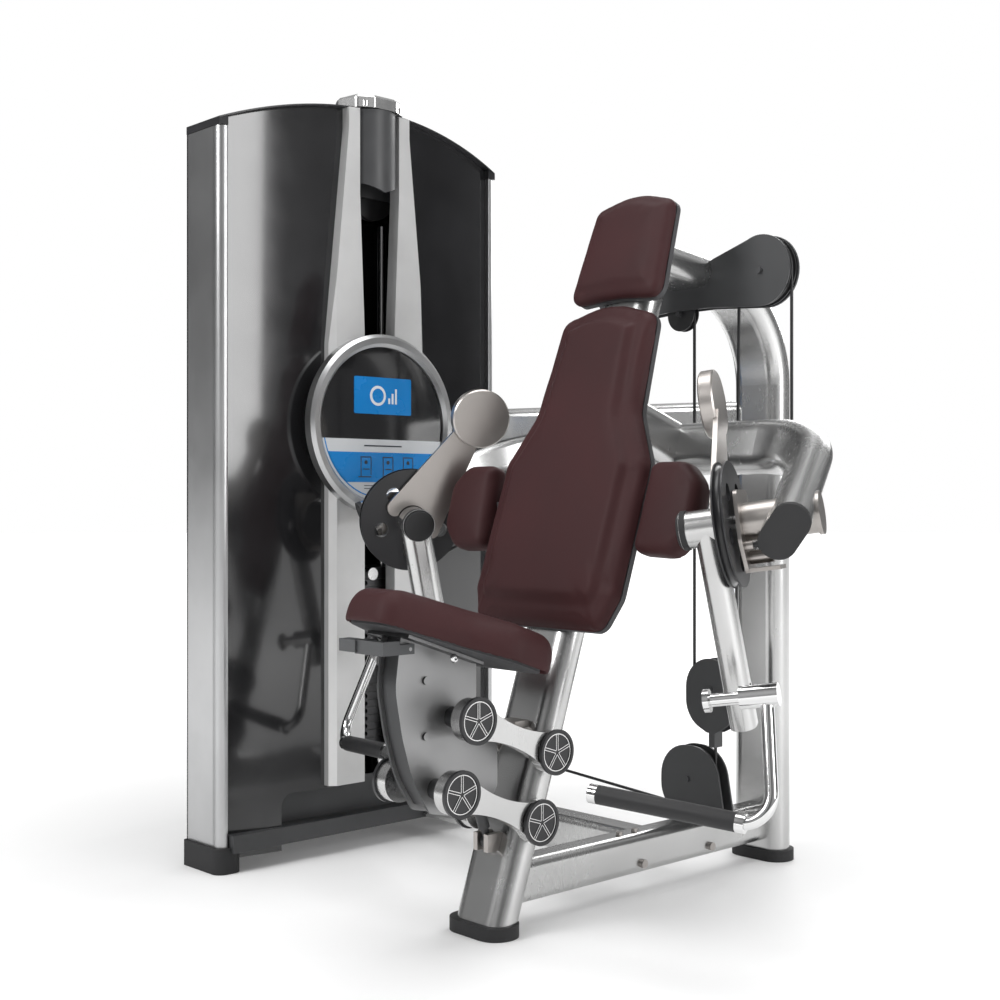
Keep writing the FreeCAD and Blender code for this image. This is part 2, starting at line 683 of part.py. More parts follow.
strand_x = UPPER_PULLEY.x + UPPER_PITCH
cam_lean = math.radians(25)
cam_leave = arm_point(69, CAM_PITCH * math.sin(cam_lean), -CAM_PITCH * math.cos(cam_lean))
idler_dir = unit(V(cam_leave.x - strand_x, cam_leave.y - CABLE_Y, 0))
idler_reach = math.hypot(cam_leave.x - strand_x, cam_leave.y - CABLE_Y)
IDLER = V(strand_x, CABLE_Y, IDLER_Z) + idler_dir * IDLER_PITCH


def toward_cam(reach, z):
    return V(strand_x, CABLE_Y, 0) + idler_dir * reach + Z_AXIS * z


cam_room = on_pivot(axial(59.5, 78.5, CAM_R + 0.3))


def arm_cable(far_circles, radius=CABLE_R):
    """From the cam round the idler, up, and over the upper pulley (left side built)."""
    low = route([(idler_reach, cam_leave.z, 0), (IDLER_PITCH, IDLER_Z, -IDLER_PITCH), (0, 1000, 0)], toward_cam)
    high = route([(strand_x, 1000, 0)] + far_circles, across)
    return largest(cable(low + high, radius).cut(cam_room))


left_cable = arm_cable([(UPPER_PULLEY.x, UPPER_PULLEY.z, UPPER_PITCH),
                        (UPPER_PULLEY.x - UPPER_PITCH, CENTRE_PULLEY.z - 1, 0)])
right_route = [(UPPER_PULLEY.x, UPPER_PULLEY.z, UPPER_PITCH), (-CENTRE_PULLEY.x, CENTRE_PULLEY.z, CENTRE_PITCH),
               (-CENTRE_PULLEY.x - CENTRE_PITCH, CENTRE_PULLEY.z - 1, 0)]
right_cable = mirrored(arm_cable(right_route))
rear_post = rear_post.cut(head_board).cut(mirrored(arm_cable(right_route, CABLE_R + 1.5)))
save("rear_post", largest(rear_post))
riser_x = STACK_X
base_edges = route([(LOWER_PITCH, LOWER_PULLEY.z, 0), (0, LOWER_PULLEY.z, -LOWER_PITCH),
                    (riser_x + BASE_PULLEY_PITCH, BASE_PULLEY_Z, -BASE_PULLEY_PITCH), (riser_x, 700, 0)], across)


def in_tower(y, z):
    return V(STACK_X, y, z)


top_edges = route([(CABLE_Y, 700, 0), (CABLE_Y - TOP_PITCH, TOP_PULLEY_Z, TOP_PITCH),
                   (TOWER_Y + TOP_PITCH, TOP_PULLEY_Z, TOP_PITCH), (TOWER_Y, TOP_PULLEY_Z - 1, 0)], in_tower)
base_cable = cable(base_edges + top_edges)
save("guide_cables", left_cable, right_cable, base_cable)

block_top = BLOCK.z
left_strand = rod(V(UPPER_PULLEY.x - UPPER_PITCH, CABLE_Y, CENTRE_PULLEY.z - 1.5),
                  V(BLOCK.x + BLOCK_PITCH, CABLE_Y, block_top), CABLE_R)
right_strand = rod(V(CENTRE_PULLEY.x + CENTRE_PITCH, CABLE_Y, CENTRE_PULLEY.z - 1.5),
                   V(BLOCK.x - BLOCK_PITCH, CABLE_Y, block_top), CABLE_R)
save("block_cables", left_strand, right_strand)
CLIP_Z0 = 256.0
CLIP_Z1 = 290.0
clip_x = LOWER_PITCH
save("lift_cable", rod(V(clip_x, CABLE_Y, LOWER_PULLEY.z + 0.5), V(clip_x, CABLE_Y, CLIP_Z0 - 0.2), CABLE_R))
HEAD_Z = STACK_Z + PLATE_COUNT * PLATE_PITCH
save("stack_cable", rod(V(STACK_X, TOWER_Y, HEAD_Z + 52), V(STACK_X, TOWER_Y, TOP_PULLEY_Z - 1.5), CABLE_R))


def block_solid():
    cheek = [(BLOCK.x - 59, BLOCK.z + 59, 58), (BLOCK.x - 59, BLOCK.z - 59, 58), (BLOCK.x - 8, 284, 4),
             (BLOCK.x + 12, 284, 4), (BLOCK.x + 59, BLOCK.z - 59, 58), (BLOCK.x + 59, BLOCK.z + 59, 58)]
    front = front_prism(cheek, CABLE_Y - 15, CABLE_Y - 12)
    rear = front_prism(cheek, CABLE_Y + 12, CABLE_Y + 15)
    axle = rod(V(BLOCK.x, CABLE_Y - 18, BLOCK.z), V(BLOCK.x, CABLE_Y + 18, BLOCK.z), 6.0)
    clip = box(clip_x - 7, clip_x + 7, CABLE_Y - 12, CABLE_Y + 12, CLIP_Z0, CLIP_Z1)
    return fuse([front, rear, axle, clip])


save("floating_block", block_solid())
save("floating_pulley", wheel_at(BLOCK, BLOCK_PITCH, PULLEY_T))
save("left_upper_pulley", wheel_at(UPPER_PULLEY, UPPER_PITCH, PULLEY_T))
save("right_upper_pulley", mirrored(wheel_at(UPPER_PULLEY, UPPER_PITCH, PULLEY_T)))
save("lower_pulley", wheel_at(LOWER_PULLEY, LOWER_PITCH, PULLEY_T))
idler_axis = unit(idler_dir.cross(Z_AXIS))
idler = wheel_at(IDLER, IDLER_PITCH, PULLEY_T, idler_axis, 5.0)
guide_wheels = [
    idler, mirrored(idler), wheel_at(CENTRE_PULLEY, CENTRE_PITCH, PULLEY_T, Y_AXIS, 5.0),
    wheel_at(V(riser_x + BASE_PULLEY_PITCH, CABLE_Y, BASE_PULLEY_Z), BASE_PULLEY_PITCH, PULLEY_T),
    wheel_at(V(STACK_X, CABLE_Y - TOP_PITCH, TOP_PULLEY_Z), TOP_PITCH, PULLEY_T, X_AXIS),
    wheel_at(V(STACK_X, TOWER_Y + TOP_PITCH, TOP_PULLEY_Z), TOP_PITCH, PULLEY_T, X_AXIS)]
save("guide_pulleys", *guide_wheels)


def upper_plate(y0, y1):
    x = UPPER_PULLEY.x
    z = UPPER_PULLEY.z
    blade = front_prism([(x - 10, z + 66, 0), (50, 1186, 0), (50, 1098, 0), (x - 10, z - 66, 0)], y0, y1)
    disc = rod(V(x, y0, z), V(x, y1, z), 66.5)
    middle = box(-60, 60, y0, y1, 1098, 1186)
    return fuse([blade, disc, middle, mirrored(blade), mirrored(disc)]).cut(rear_outer)


def pin_y(centre, half, radius):
    return rod(centre - Y_AXIS * half, centre + Y_AXIS * half, radius)


upper_parts = [upper_plate(CABLE_Y - 16, CABLE_Y - 12), upper_plate(CABLE_Y + 12, CABLE_Y + 16)]
for centre in (UPPER_PULLEY, V(-UPPER_PULLEY.x, CABLE_Y, UPPER_PULLEY.z)):
    upper_parts.append(pin_y(centre, 22, 6.0))
upper_parts.append(pin_y(CENTRE_PULLEY, 18, 5.0))
lower_outline = [(-66, 254, 64), (-66, 150, 60), (-28, FLOOR_BEAM_Z + FLOOR_BEAM_H / 2, 0),
                 (92, FLOOR_BEAM_Z + FLOOR_BEAM_H / 2, 0), (66, 254, 64)]
lower_parts = [front_prism(lower_outline, CABLE_Y - 16, CABLE_Y - 12),
               front_prism(lower_outline, CABLE_Y + 12, CABLE_Y + 16), pin_y(LOWER_PULLEY, 20, 6.0)]
idler_side = [IDLER - idler_axis * 12, IDLER + idler_axis * 12]
idler_parts = []
for near in idler_side:
    plate = Part.makeBox(66, 4, 26, V(-20, -2, -13))
    idler_parts.append(placed(plate, near, Z_AXIS, idler_dir * 1.0))
idler_parts.append(rod(IDLER - idler_axis * 15, IDLER + idler_axis * 15, 5.0))
idler_bracket = fuse(idler_parts).cut(support_outer)
idler_bracket = largest(idler_bracket)
tower_pin_x = V(26, 0, 0)
tower_axles = [
    pin_y(V(riser_x + BASE_PULLEY_PITCH, CABLE_Y, BASE_PULLEY_Z), 12, 6.0),
    rod(V(STACK_X, CABLE_Y - TOP_PITCH, TOP_PULLEY_Z) - tower_pin_x,
        V(STACK_X, CABLE_Y - TOP_PITCH, TOP_PULLEY_Z) + tower_pin_x, 6.0),
    rod(V(STACK_X, TOWER_Y + TOP_PITCH, TOP_PULLEY_Z) - tower_pin_x,
        V(STACK_X, TOWER_Y + TOP_PITCH, TOP_PULLEY_Z) + tower_pin_x, 6.0)]
top_rail = [box(STACK_X - 26, STACK_X - 20, TOWER_Y - 110, CABLE_Y + 10, TOP_PULLEY_Z - 20, TOP_PULLEY_Z + 20),
            box(STACK_X + 20, STACK_X + 26, TOWER_Y - 110, CABLE_Y + 10, TOP_PULLEY_Z - 20, TOP_PULLEY_Z + 20),
            box(STACK_X - 20, STACK_X + 20, TOWER_Y - 110, TOWER_Y - 60, TOP_PULLEY_Z - 20, TOP_PULLEY_Z - 12)]
base_mount = box(riser_x + BASE_PULLEY_PITCH - 20, riser_x + BASE_PULLEY_PITCH + 20,
                 CABLE_Y - 16, CABLE_Y - 12, 74, BASE_PULLEY_Z + 20)
tower_frame = fuse(top_rail + tower_axles[1:])
save("pulley_brackets", fuse(upper_parts), fuse(lower_parts), idler_bracket, mirrored(idler_bracket),
     fuse([base_mount, tower_axles[0]]), tower_frame)

# ---- tower ----
TOWER_LOW = 25.0
PANEL_EDGE_X = -640.0
PANEL_MID_X = -606.0
ARCH_END_Z = 1475.0
ARCH_TOP_Z = 1544.0
SHROUD_BULGE_X = -800.0
SHROUD_EDGE_X = -743.0
TOWER_FRONT = TOWER_Y - TOWER_HALF
TOWER_REAR = TOWER_Y + TOWER_HALF
SKIN = 6.0


def curved_strip(x_edge, x_mid, thick, y0, y1):
    """Plan outline of a plate bowed between the tower ends, cut to a span of Y."""
    outer = Part.Arc(V(x_edge, TOWER_FRONT, 0), V(x_mid, TOWER_Y, 0), V(x_edge, TOWER_REAR, 0)).toShape()
    inner = Part.Arc(V(x_edge - thick, TOWER_FRONT, 0), V(x_mid - thick, TOWER_Y, 0),
                     V(x_edge - thick, TOWER_REAR, 0)).toShape()
    ends = [Part.LineSegment(V(x_edge - thick, y, 0), V(x_edge, y, 0)).toShape()
            for y in (TOWER_FRONT, TOWER_REAR)]
    face = Part.Face(Part.Wire([outer, ends[1], inner, ends[0]]))
    plate = face.extrude(V(0, 0, 1700))
    return plate.common(box(-1000, -400, y0, y1, TOWER_LOW, 1700))


def above_arch(lift):
    low = ARCH_END_Z + lift
    arc = Part.Arc(V(-1000, TOWER_FRONT, low), V(-1000, TOWER_Y, ARCH_TOP_Z + lift),
                   V(-1000, TOWER_REAR, low)).toShape()
    lines = [((TOWER_REAR, low), (TOWER_REAR + 50, low)), ((TOWER_REAR + 50, low), (TOWER_REAR + 50, 1900)),
             ((TOWER_REAR + 50, 1900), (TOWER_FRONT - 50, 1900)),
             ((TOWER_FRONT - 50, 1900), (TOWER_FRONT - 50, low)), ((TOWER_FRONT - 50, low), (TOWER_FRONT, low))]
    edges = [arc] + [Part.LineSegment(V(-1000, *a), V(-1000, *b)).toShape() for a, b in lines]
    return Part.Face(Part.Wire(edges)).extrude(V(700, 0, 0))


def flipped(shape):
    """Mirror a tower piece from its front half to its rear half."""
    return shape.mirror(V(0, TOWER_Y, 0), Y_AXIS)


COLUMN_D = 20.0
TRIM_IN = 40.0
TRIM_LOW = 125.0
COVER_HALF = 51.5
TRIM_TOP = 80.0
arch_trim = above_arch(0)
panel = curved_strip(PANEL_EDGE_X, PANEL_MID_X, SKIN, TOWER_FRONT + COLUMN_D, TOWER_Y - COVER_HALF - 18)
panel = panel.cut(arch_trim)
notch = side_prism([(14, 0, 0), (14, 138, 26), (400, 138, 0), (400, 0, 0)], -800, -500)
panel = panel.cut(notch)
rear_panel = flipped(panel)
cable_hole = rod(V(-800, CABLE_Y, 172), V(-500, CABLE_Y, 172), 24.0)
upper_start = V(-40, REAR_Y - 8, 890)
upper_end = V(-652, 556, 890)
upper_section = rounded_face([(-45, -25, 20), (45, -25, 20), (45, 25, 20), (-45, 25, 20)])
upper_inner = rounded_face([(-42, -22, 17), (42, -22, 17), (42, 22, 17), (-42, 22, 17)])
upper_outer = bar(upper_section, upper_start, upper_end, Z_AXIS)
rear_panel = rear_panel.cut(cable_hole)
upper_beam = upper_outer.cut(bar(upper_inner, upper_start, upper_end, Z_AXIS)).cut(rear_outer)
upper_beam = largest(upper_beam.cut(rear_post_solid(WALL, FOOT_Z, 0)).cut(rear_panel))

column_plan = [(SHROUD_EDGE_X, TOWER_FRONT, 3), (PANEL_EDGE_X + 16, TOWER_FRONT, 16),
               (PANEL_EDGE_X + 16, TOWER_FRONT + COLUMN_D - 0.2, 2), (SHROUD_EDGE_X, TOWER_FRONT + COLUMN_D - 0.2, 3)]
hollow_plan = [(SHROUD_EDGE_X + 3, TOWER_FRONT + 3, 1), (PANEL_EDGE_X + 13, TOWER_FRONT + 3, 12),
               (PANEL_EDGE_X + 13, TOWER_FRONT + COLUMN_D - 3.2, 1),
               (SHROUD_EDGE_X + 3, TOWER_FRONT + COLUMN_D - 3.2, 1)]
column = rounded_face(column_plan).cut(rounded_face(hollow_plan)).extrude(V(0, 0, ARCH_END_Z - 13 - TOWER_LOW))
column.translate(V(0, 0, TOWER_LOW))
for groove_x in (PANEL_EDGE_X - 8, PANEL_EDGE_X - 2):
    column = column.cut(box(groove_x, groove_x + 2, TOWER_FRONT - 1, TOWER_FRONT + 1, 0, 1600))
save("tower_columns", column, flipped(column))
save("upper_beam", largest(upper_beam.cut(flipped(column))))

shroud = curved_strip(SHROUD_EDGE_X, SHROUD_BULGE_X, 4, TOWER_FRONT + 1, TOWER_REAR - 1).cut(arch_trim)
save("tower_panels", panel, rear_panel, shroud)


def plan_solid(z0, z1):
    inner = Part.Arc(V(PANEL_EDGE_X + 16, TOWER_FRONT, z0), V(PANEL_MID_X + 16, TOWER_Y, z0),
                     V(PANEL_EDGE_X + 16, TOWER_REAR, z0)).toShape()
    outer = Part.Arc(V(SHROUD_EDGE_X - 4, TOWER_FRONT, z0), V(SHROUD_BULGE_X - 4, TOWER_Y, z0),
                     V(SHROUD_EDGE_X - 4, TOWER_REAR, z0)).toShape()
    ends = [Part.LineSegment(V(SHROUD_EDGE_X - 4, y, z0), V(PANEL_EDGE_X + 16, y, z0)).toShape()
            for y in (TOWER_FRONT, TOWER_REAR)]
    return Part.Face(Part.Wire([inner, ends[1], outer, ends[0]])).extrude(V(0, 0, z1 - z0))


cap_band = plan_solid(1400, 1700).common(above_arch(0.2)).cut(above_arch(3.2))
end_caps = [box(SHROUD_EDGE_X - 4, PANEL_EDGE_X + 16, TOWER_FRONT, TOWER_FRONT + COLUMN_D, ARCH_END_Z - 12, 1520)]
end_caps = [piece.cut(arch_trim) for piece in end_caps]
top_cap = fuse([cap_band, end_caps[0], flipped(end_caps[0])]).cut(shroud)
save("tower_top_cap", top_cap)

crown_outline = [(-668, TOWER_Y - 54, 12), (-640, TOWER_Y - 70, 12), (-584, TOWER_Y - 62, 10), (-566, TOWER_Y - 28, 10),
                 (-566, TOWER_Y + 28, 10), (-584, TOWER_Y + 62, 10), (-640, TOWER_Y + 70, 12), (-668, TOWER_Y + 54, 12)]
crown = rounded_face(crown_outline).extrude(V(0, 0, 27))
crown.translate(V(0, 0, 1545))
crown = crown.makeChamfer(6, [edge for edge in crown.Edges if edge.CenterOfMass.z > 1571])
crown_skirt = rounded_face([(-660, TOWER_Y - 50, 8), (-572, TOWER_Y - 50, 8), (-572, TOWER_Y + 50, 8),
                            (-660, TOWER_Y + 50, 8)]).extrude(V(0, 0, 40))
crown_skirt.translate(V(0, 0, 1518))
crown = fuse([crown, crown_skirt.common(above_arch(3.4))])
save("tower_crown", largest(crown.cut(top_cap)))

trim_outline = [(TOWER_Y - TRIM_IN, 145, 0), (TOWER_Y - TRIM_IN, 1080, 0), (TOWER_Y - COVER_HALF - 0.5, 1370, 0),
                (TOWER_Y - COVER_HALF - 0.5, 1600, 0), (TOWER_Y - TRIM_TOP, 1600, 0), (TOWER_Y - TRIM_TOP, 1500, 0),
                (TOWER_Y - TRIM_LOW, 1050, 60), (TOWER_Y - TRIM_LOW, 145, 0)]
trim = side_prism(trim_outline, -616, RING.x - 0.0).cut(arch_trim)
bevel = beyond(V(RING.x, TOWER_Y - TRIM_LOW + 14, 600), V(0.8, -0.6, 0))
trim = trim.cut(bevel).cut(panel)
trim = largest(trim)
save("tower_trims", trim, flipped(trim))

cover_plan = Part.Face(Part.Wire([
    Part.Arc(V(-600, TOWER_Y - COVER_HALF, 0), V(-566, TOWER_Y, 0), V(-600, TOWER_Y + COVER_HALF, 0)).toShape(),
    Part.LineSegment(V(-600, TOWER_Y + COVER_HALF, 0), V(-604, TOWER_Y + COVER_HALF, 0)).toShape(),
    Part.Arc(V(-604, TOWER_Y + COVER_HALF, 0), V(-570, TOWER_Y, 0), V(-604, TOWER_Y - COVER_HALF, 0)).toShape(),
    Part.LineSegment(V(-604, TOWER_Y - COVER_HALF, 0), V(-600, TOWER_Y - COVER_HALF, 0)).toShape()]))
cover = cover_plan.extrude(V(0, 0, 200))
cover.translate(V(0, 0, 1365))
vee = side_prism([(TOWER_Y - 80, 1300, 0), (TOWER_Y - 80, 1402, 0), (TOWER_Y, 1372, 0), (TOWER_Y + 80, 1402, 0),
                  (TOWER_Y + 80, 1300, 0)], -700, -500)
cover = cover.cut(vee).cut(arch_trim)
cover = largest(cover)
save("tower_cover", cover)

ROD_X = STACK_X
rods = [rod(V(ROD_X, TOWER_Y + side * 88, 74), V(ROD_X, TOWER_Y + side * 88, TOP_PULLEY_Z - 72), 10.0)
        for side in (-1, 1)]
spacers = [pipe(V(ROD_X, TOWER_Y + side * 88, 74.2), V(ROD_X, TOWER_Y + side * 88, STACK_Z - 0.3), 26.0, 10.0 + PLAY)
           for side in (-1, 1)]
save("guide_rods", *(rods + spacers))


def plate_solid(z0, thick):
    plate = rounded_face([(STACK_X - 56, TOWER_Y - 124, 8), (STACK_X + 56, TOWER_Y - 124, 8),
                          (STACK_X + 56, TOWER_Y + 124, 8), (STACK_X - 56, TOWER_Y + 124, 8)]).extrude(V(0, 0, thick))
    plate.translate(V(0, 0, z0))
    for side in (-1, 1):
        hole_y = TOWER_Y + side * 88
        plate = plate.cut(rod(V(ROD_X, hole_y, z0 - 1), V(ROD_X, hole_y, z0 + thick + 1), 10.6))
    return plate


selector_bore = rod(V(STACK_X, TOWER_Y, STACK_Z - 5), V(STACK_X, TOWER_Y, HEAD_Z + 5), 13.0)
plates = []
for index in range(PLATE_COUNT):
    base = STACK_Z + index * PLATE_PITCH
    plate = plate_solid(base, PLATE_PITCH - 0.8).cut(selector_bore)
    hole_z = base + PLATE_PITCH / 2 - 0.4
    plates.append(plate.cut(rod(V(STACK_X, TOWER_Y, hole_z), V(STACK_X + 60, TOWER_Y, hole_z), 5.2)))
save("weight_plates", *plates)
head = plate_solid(HEAD_Z, 24)
selector = rod(V(STACK_X, TOWER_Y, STACK_Z + 4), V(STACK_X, TOWER_Y, HEAD_Z + 50), 12.0)
pin_z = HEAD_Z + 12
head_block = fuse([head, selector])
for index in range(PLATE_COUNT):
    hole_z = STACK_Z + index * PLATE_PITCH + PLATE_PITCH / 2 - 0.4
    head_block = head_block.cut(rod(V(STACK_X - 20, TOWER_Y, hole_z), V(STACK_X + 20, TOWER_Y, hole_z), 5.0 + PLAY))
head_block = head_block.cut(rod(V(STACK_X + 6, TOWER_Y, pin_z), V(STACK_X + 60, TOWER_Y, pin_z), 5.0 + PLAY))
save("stack_head", head_block)
pin_knob = rod(V(STACK_X + 57, TOWER_Y, pin_z), V(STACK_X + 82, TOWER_Y, pin_z), 13.0)
save("selector_pin", fuse([rod(V(STACK_X + 13, TOWER_Y, pin_z), V(STACK_X + 60, TOWER_Y, pin_z), 5.0), pin_knob]))

base_rail = box(-664, -608, TOWER_FRONT + COLUMN_D + 2, TOWER_REAR - COLUMN_D - 2, 40, 74)
base_rail = base_rail.cut(panel).cut(rear_panel)
base_plate = box(-776, -664, TOWER_Y - 150, TOWER_REAR - COLUMN_D - 2, 66, 74)
base_back = box(-724, -700, TOWER_FRONT + COLUMN_D + 2, TOWER_REAR - COLUMN_D - 2, 40, 66)
base_web = box(-650, -644, 20, TOWER_REAR - COLUMN_D - 130, 74, 146)
tower_base = fuse([base_rail, base_plate, base_back, base_web]).cut(panel).cut(rear_panel)
tower_base = largest(tower_base.cut(shroud).cut(lateral))
save("tower_base", tower_base)

ring = rod(RING, RING + X_AXIS * 26, RING_R).cut(rod(RING - X_AXIS, RING + X_AXIS * 30, RING_R - 26))
ring = ring.makeChamfer(7, [edge for edge in ring.Edges if abs(edge.CenterOfMass.x - RING.x - 26) < 0.1
                            and len(edge.Vertexes) == 1])
save("display_bezel", ring)
save("display_face", rod(RING + X_AXIS, RING + X_AXIS * 14, RING_R - 26.2))


# ---- feet and bolts ----
def foot(x, y, width, depth, height, inner):
    shoe = rounded_face([(x - width / 2, y - depth / 2, depth / 2 - 1), (x + width / 2, y - depth / 2, depth / 2 - 1),
                         (x + width / 2, y + depth / 2, depth / 2 - 1),
                         (x - width / 2, y + depth / 2, depth / 2 - 1)]).extrude(V(0, 0, height))
    return shoe.cut(inner)


tower_shoe = rounded_face([(SHROUD_EDGE_X - 6, TOWER_FRONT - 8, 8), (PANEL_EDGE_X + 24, TOWER_FRONT - 8, 22),
                           (PANEL_EDGE_X + 24, TOWER_FRONT + 50, 22), (SHROUD_EDGE_X - 6, TOWER_FRONT + 50, 8)])
tower_shoe = tower_shoe.extrude(V(0, 0, 50))
for fixed in (column, panel, shroud, tower_base):
    tower_shoe = tower_shoe.cut(fixed)
tower_shoe = largest(tower_shoe)
save("rubber_feet", foot(0, 0, 136, 78, 22, front_outer), foot(0, REAR_Y, 136, 76, 22, rear_outer),
     tower_shoe, flipped(tower_shoe), end_cap, mirrored(end_cap))

bolts = []
for y in (369.0, 567.0):
    bolts.append(rod(V(FLOOR_BEAM_W / 2 - 2, y, 58), V(FLOOR_BEAM_W / 2 + 7, y, 58), 8.0).cut(floor_outer))
for y in (330.0, 372.0):
    bolts.append(rod(V(8, y, 110), V(8, y, 119), 6.0).cut(floor_outer))
save("frame_fittings", *(post_fittings + bolts))
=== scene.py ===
import bpy
import bmesh
import json
import math
import numpy as np
from mathutils import Matrix, Vector


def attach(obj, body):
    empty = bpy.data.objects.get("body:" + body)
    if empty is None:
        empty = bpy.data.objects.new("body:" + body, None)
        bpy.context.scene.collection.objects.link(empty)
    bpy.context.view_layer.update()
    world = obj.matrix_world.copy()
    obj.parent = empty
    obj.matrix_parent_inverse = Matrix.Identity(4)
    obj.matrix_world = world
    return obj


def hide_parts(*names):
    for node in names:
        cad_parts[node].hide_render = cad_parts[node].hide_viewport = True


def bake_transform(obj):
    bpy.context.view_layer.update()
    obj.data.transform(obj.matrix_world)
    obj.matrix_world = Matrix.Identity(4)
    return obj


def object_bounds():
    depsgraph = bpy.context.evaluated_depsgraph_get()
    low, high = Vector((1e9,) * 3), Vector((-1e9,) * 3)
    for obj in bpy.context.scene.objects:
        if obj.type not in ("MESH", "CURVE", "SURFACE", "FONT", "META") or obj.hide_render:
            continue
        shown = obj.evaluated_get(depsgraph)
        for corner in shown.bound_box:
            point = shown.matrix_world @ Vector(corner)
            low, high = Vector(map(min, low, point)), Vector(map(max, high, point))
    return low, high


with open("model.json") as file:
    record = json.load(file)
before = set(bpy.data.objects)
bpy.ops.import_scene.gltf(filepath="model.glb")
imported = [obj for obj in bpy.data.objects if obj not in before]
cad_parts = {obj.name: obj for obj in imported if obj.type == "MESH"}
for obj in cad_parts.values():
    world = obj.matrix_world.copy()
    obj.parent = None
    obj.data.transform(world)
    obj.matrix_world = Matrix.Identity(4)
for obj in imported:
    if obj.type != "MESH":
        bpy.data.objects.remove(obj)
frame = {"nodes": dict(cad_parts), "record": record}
cad_box = [list(corner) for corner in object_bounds()]
NODES = frame["nodes"]


# ---- node materials ----
class Finish:
    """A Principled material with helpers for procedural colour, roughness and bump."""

    def __init__(self, name, colour, metallic=0.0, roughness=0.5, **sockets):
        self.material = bpy.data.materials.new(name)
        self.material.use_nodes = True
        self.tree = self.material.node_tree
        self.shader = self.tree.nodes["Principled BSDF"]
        self.shader.inputs["Base Color"].default_value = (*colour, 1)
        self.shader.inputs["Metallic"].default_value = metallic
        self.shader.inputs["Roughness"].default_value = roughness
        for socket, value in sockets.items():
            self.shader.inputs[socket.replace("_", " ")].default_value = value
        self.place = self.tree.nodes.new("ShaderNodeTexCoord").outputs["Object"]

    def stretched(self, scale):
        mapping = self.tree.nodes.new("ShaderNodeMapping")
        mapping.inputs["Scale"].default_value = scale
        self.tree.links.new(self.place, mapping.inputs["Vector"])
        return mapping.outputs["Vector"]

    def noise(self, scale, detail=4.0, where=None, rough=0.55):
        node = self.tree.nodes.new("ShaderNodeTexNoise")
        node.inputs["Scale"].default_value = scale
        node.inputs["Detail"].default_value = detail
        node.inputs["Roughness"].default_value = rough
        self.tree.links.new(where or self.place, node.inputs["Vector"])
        return node.outputs["Fac"]

    def cells(self, scale):
        node = self.tree.nodes.new("ShaderNodeTexVoronoi")
        node.feature = "DISTANCE_TO_EDGE"
        node.inputs["Scale"].default_value = scale
        self.tree.links.new(self.place, node.inputs["Vector"])
        return node.outputs["Distance"]

    def ramp(self, value, low, high, start=0.3, end=0.7):
        node = self.tree.nodes.new("ShaderNodeMapRange")
        node.inputs["From Min"].default_value = start
        node.inputs["From Max"].default_value = end
        node.inputs["To Min"].default_value = low
        node.inputs["To Max"].default_value = high
        self.tree.links.new(value, node.inputs["Value"])
        return node.outputs["Result"]

    def colours(self, value, dark, light, start=0.3, end=0.7):
        node = self.tree.nodes.new("ShaderNodeValToRGB")
        node.color_ramp.elements[0].position = start
        node.color_ramp.elements[0].color = (*dark, 1)
        node.color_ramp.elements[1].position = end
        node.color_ramp.elements[1].color = (*light, 1)
        self.tree.links.new(value, node.inputs["Fac"])
        self.tree.links.new(node.outputs["Color"], self.shader.inputs["Base Color"])

    def add(self, first, second, how="ADD"):
        node = self.tree.nodes.new("ShaderNodeMath")
        node.operation = how
        self.tree.links.new(first, node.inputs[0])
        if isinstance(second, float):
            node.inputs[1].default_value = second
        else:
            self.tree.links.new(second, node.inputs[1])
        return node.outputs["Value"]

    def roughness(self, value):
        self.tree.links.new(value, self.shader.inputs["Roughness"])

    def bump(self, height, distance, strength=1.0):
        node = self.tree.nodes.new("ShaderNodeBump")
        node.inputs["Distance"].default_value = distance
        node.inputs["Strength"].default_value = strength
        self.tree.links.new(height, node.inputs["Height"])
        self.tree.links.new(node.outputs["Normal"], self.shader.inputs["Normal"])


def tinted(colour, factor):
    return tuple(min(1.0, c * factor) for c in colour)


def brushed(name, colour, low, high, grain, spread=0.06, metallic=1.0):
    """Metal with a fine directional grain and a cloudy tone; low and high are roughness."""
    finish = Finish(name, colour, metallic=metallic, roughness=(low + high) / 2)
    cloud = finish.noise(7.0, 3.0)
    finish.colours(cloud, tinted(colour, 1 - spread), tinted(colour, 1 + spread))
    lines = finish.noise(1.0, 5.0, finish.stretched(grain), 0.65)
    finish.roughness(finish.ramp(finish.add(lines, cloud, "MULTIPLY"), low, high, 0.12, 0.42))
    finish.bump(lines, 0.000006, 0.3)
    return finish.material


def moulded(name, colour, low, high, scale=900.0, depth=0.00012, spread=0.12, coat=0.0):
    """Plastic, rubber or powder coat with a fine texture and uneven sheen."""
    finish = Finish(name, colour, roughness=(low + high) / 2, Coat_Weight=coat, Coat_Roughness=0.08)
    cloud = finish.noise(9.0, 4.0)
    finish.colours(cloud, tinted(colour, 1 - spread), tinted(colour, 1 + spread))
    finish.roughness(finish.ramp(cloud, low, high))
    finish.bump(finish.noise(scale, 2.0), depth, 0.5)
    return finish.material


def leather(name, colour):
    """Upholstery vinyl: small pebbled grain, soft creases, slightly worn high spots."""
    finish = Finish(name, colour, Specular_IOR_Level=0.24)
    tone = finish.noise(6.0, 5.0)
    finish.colours(tone, tinted(colour, 0.86), tinted(colour, 1.14))
    pebble = finish.cells(520.0)
    fine = finish.noise(1500.0, 2.0)
    crease = finish.noise(38.0, 6.0)
    height = finish.add(finish.add(pebble, fine, "MULTIPLY"), finish.add(crease, 0.35, "MULTIPLY"))
    finish.roughness(finish.ramp(finish.add(tone, pebble), 0.52, 0.68, 0.3, 0.9))
    finish.bump(height, 0.0007, 0.45)
    return finish.material


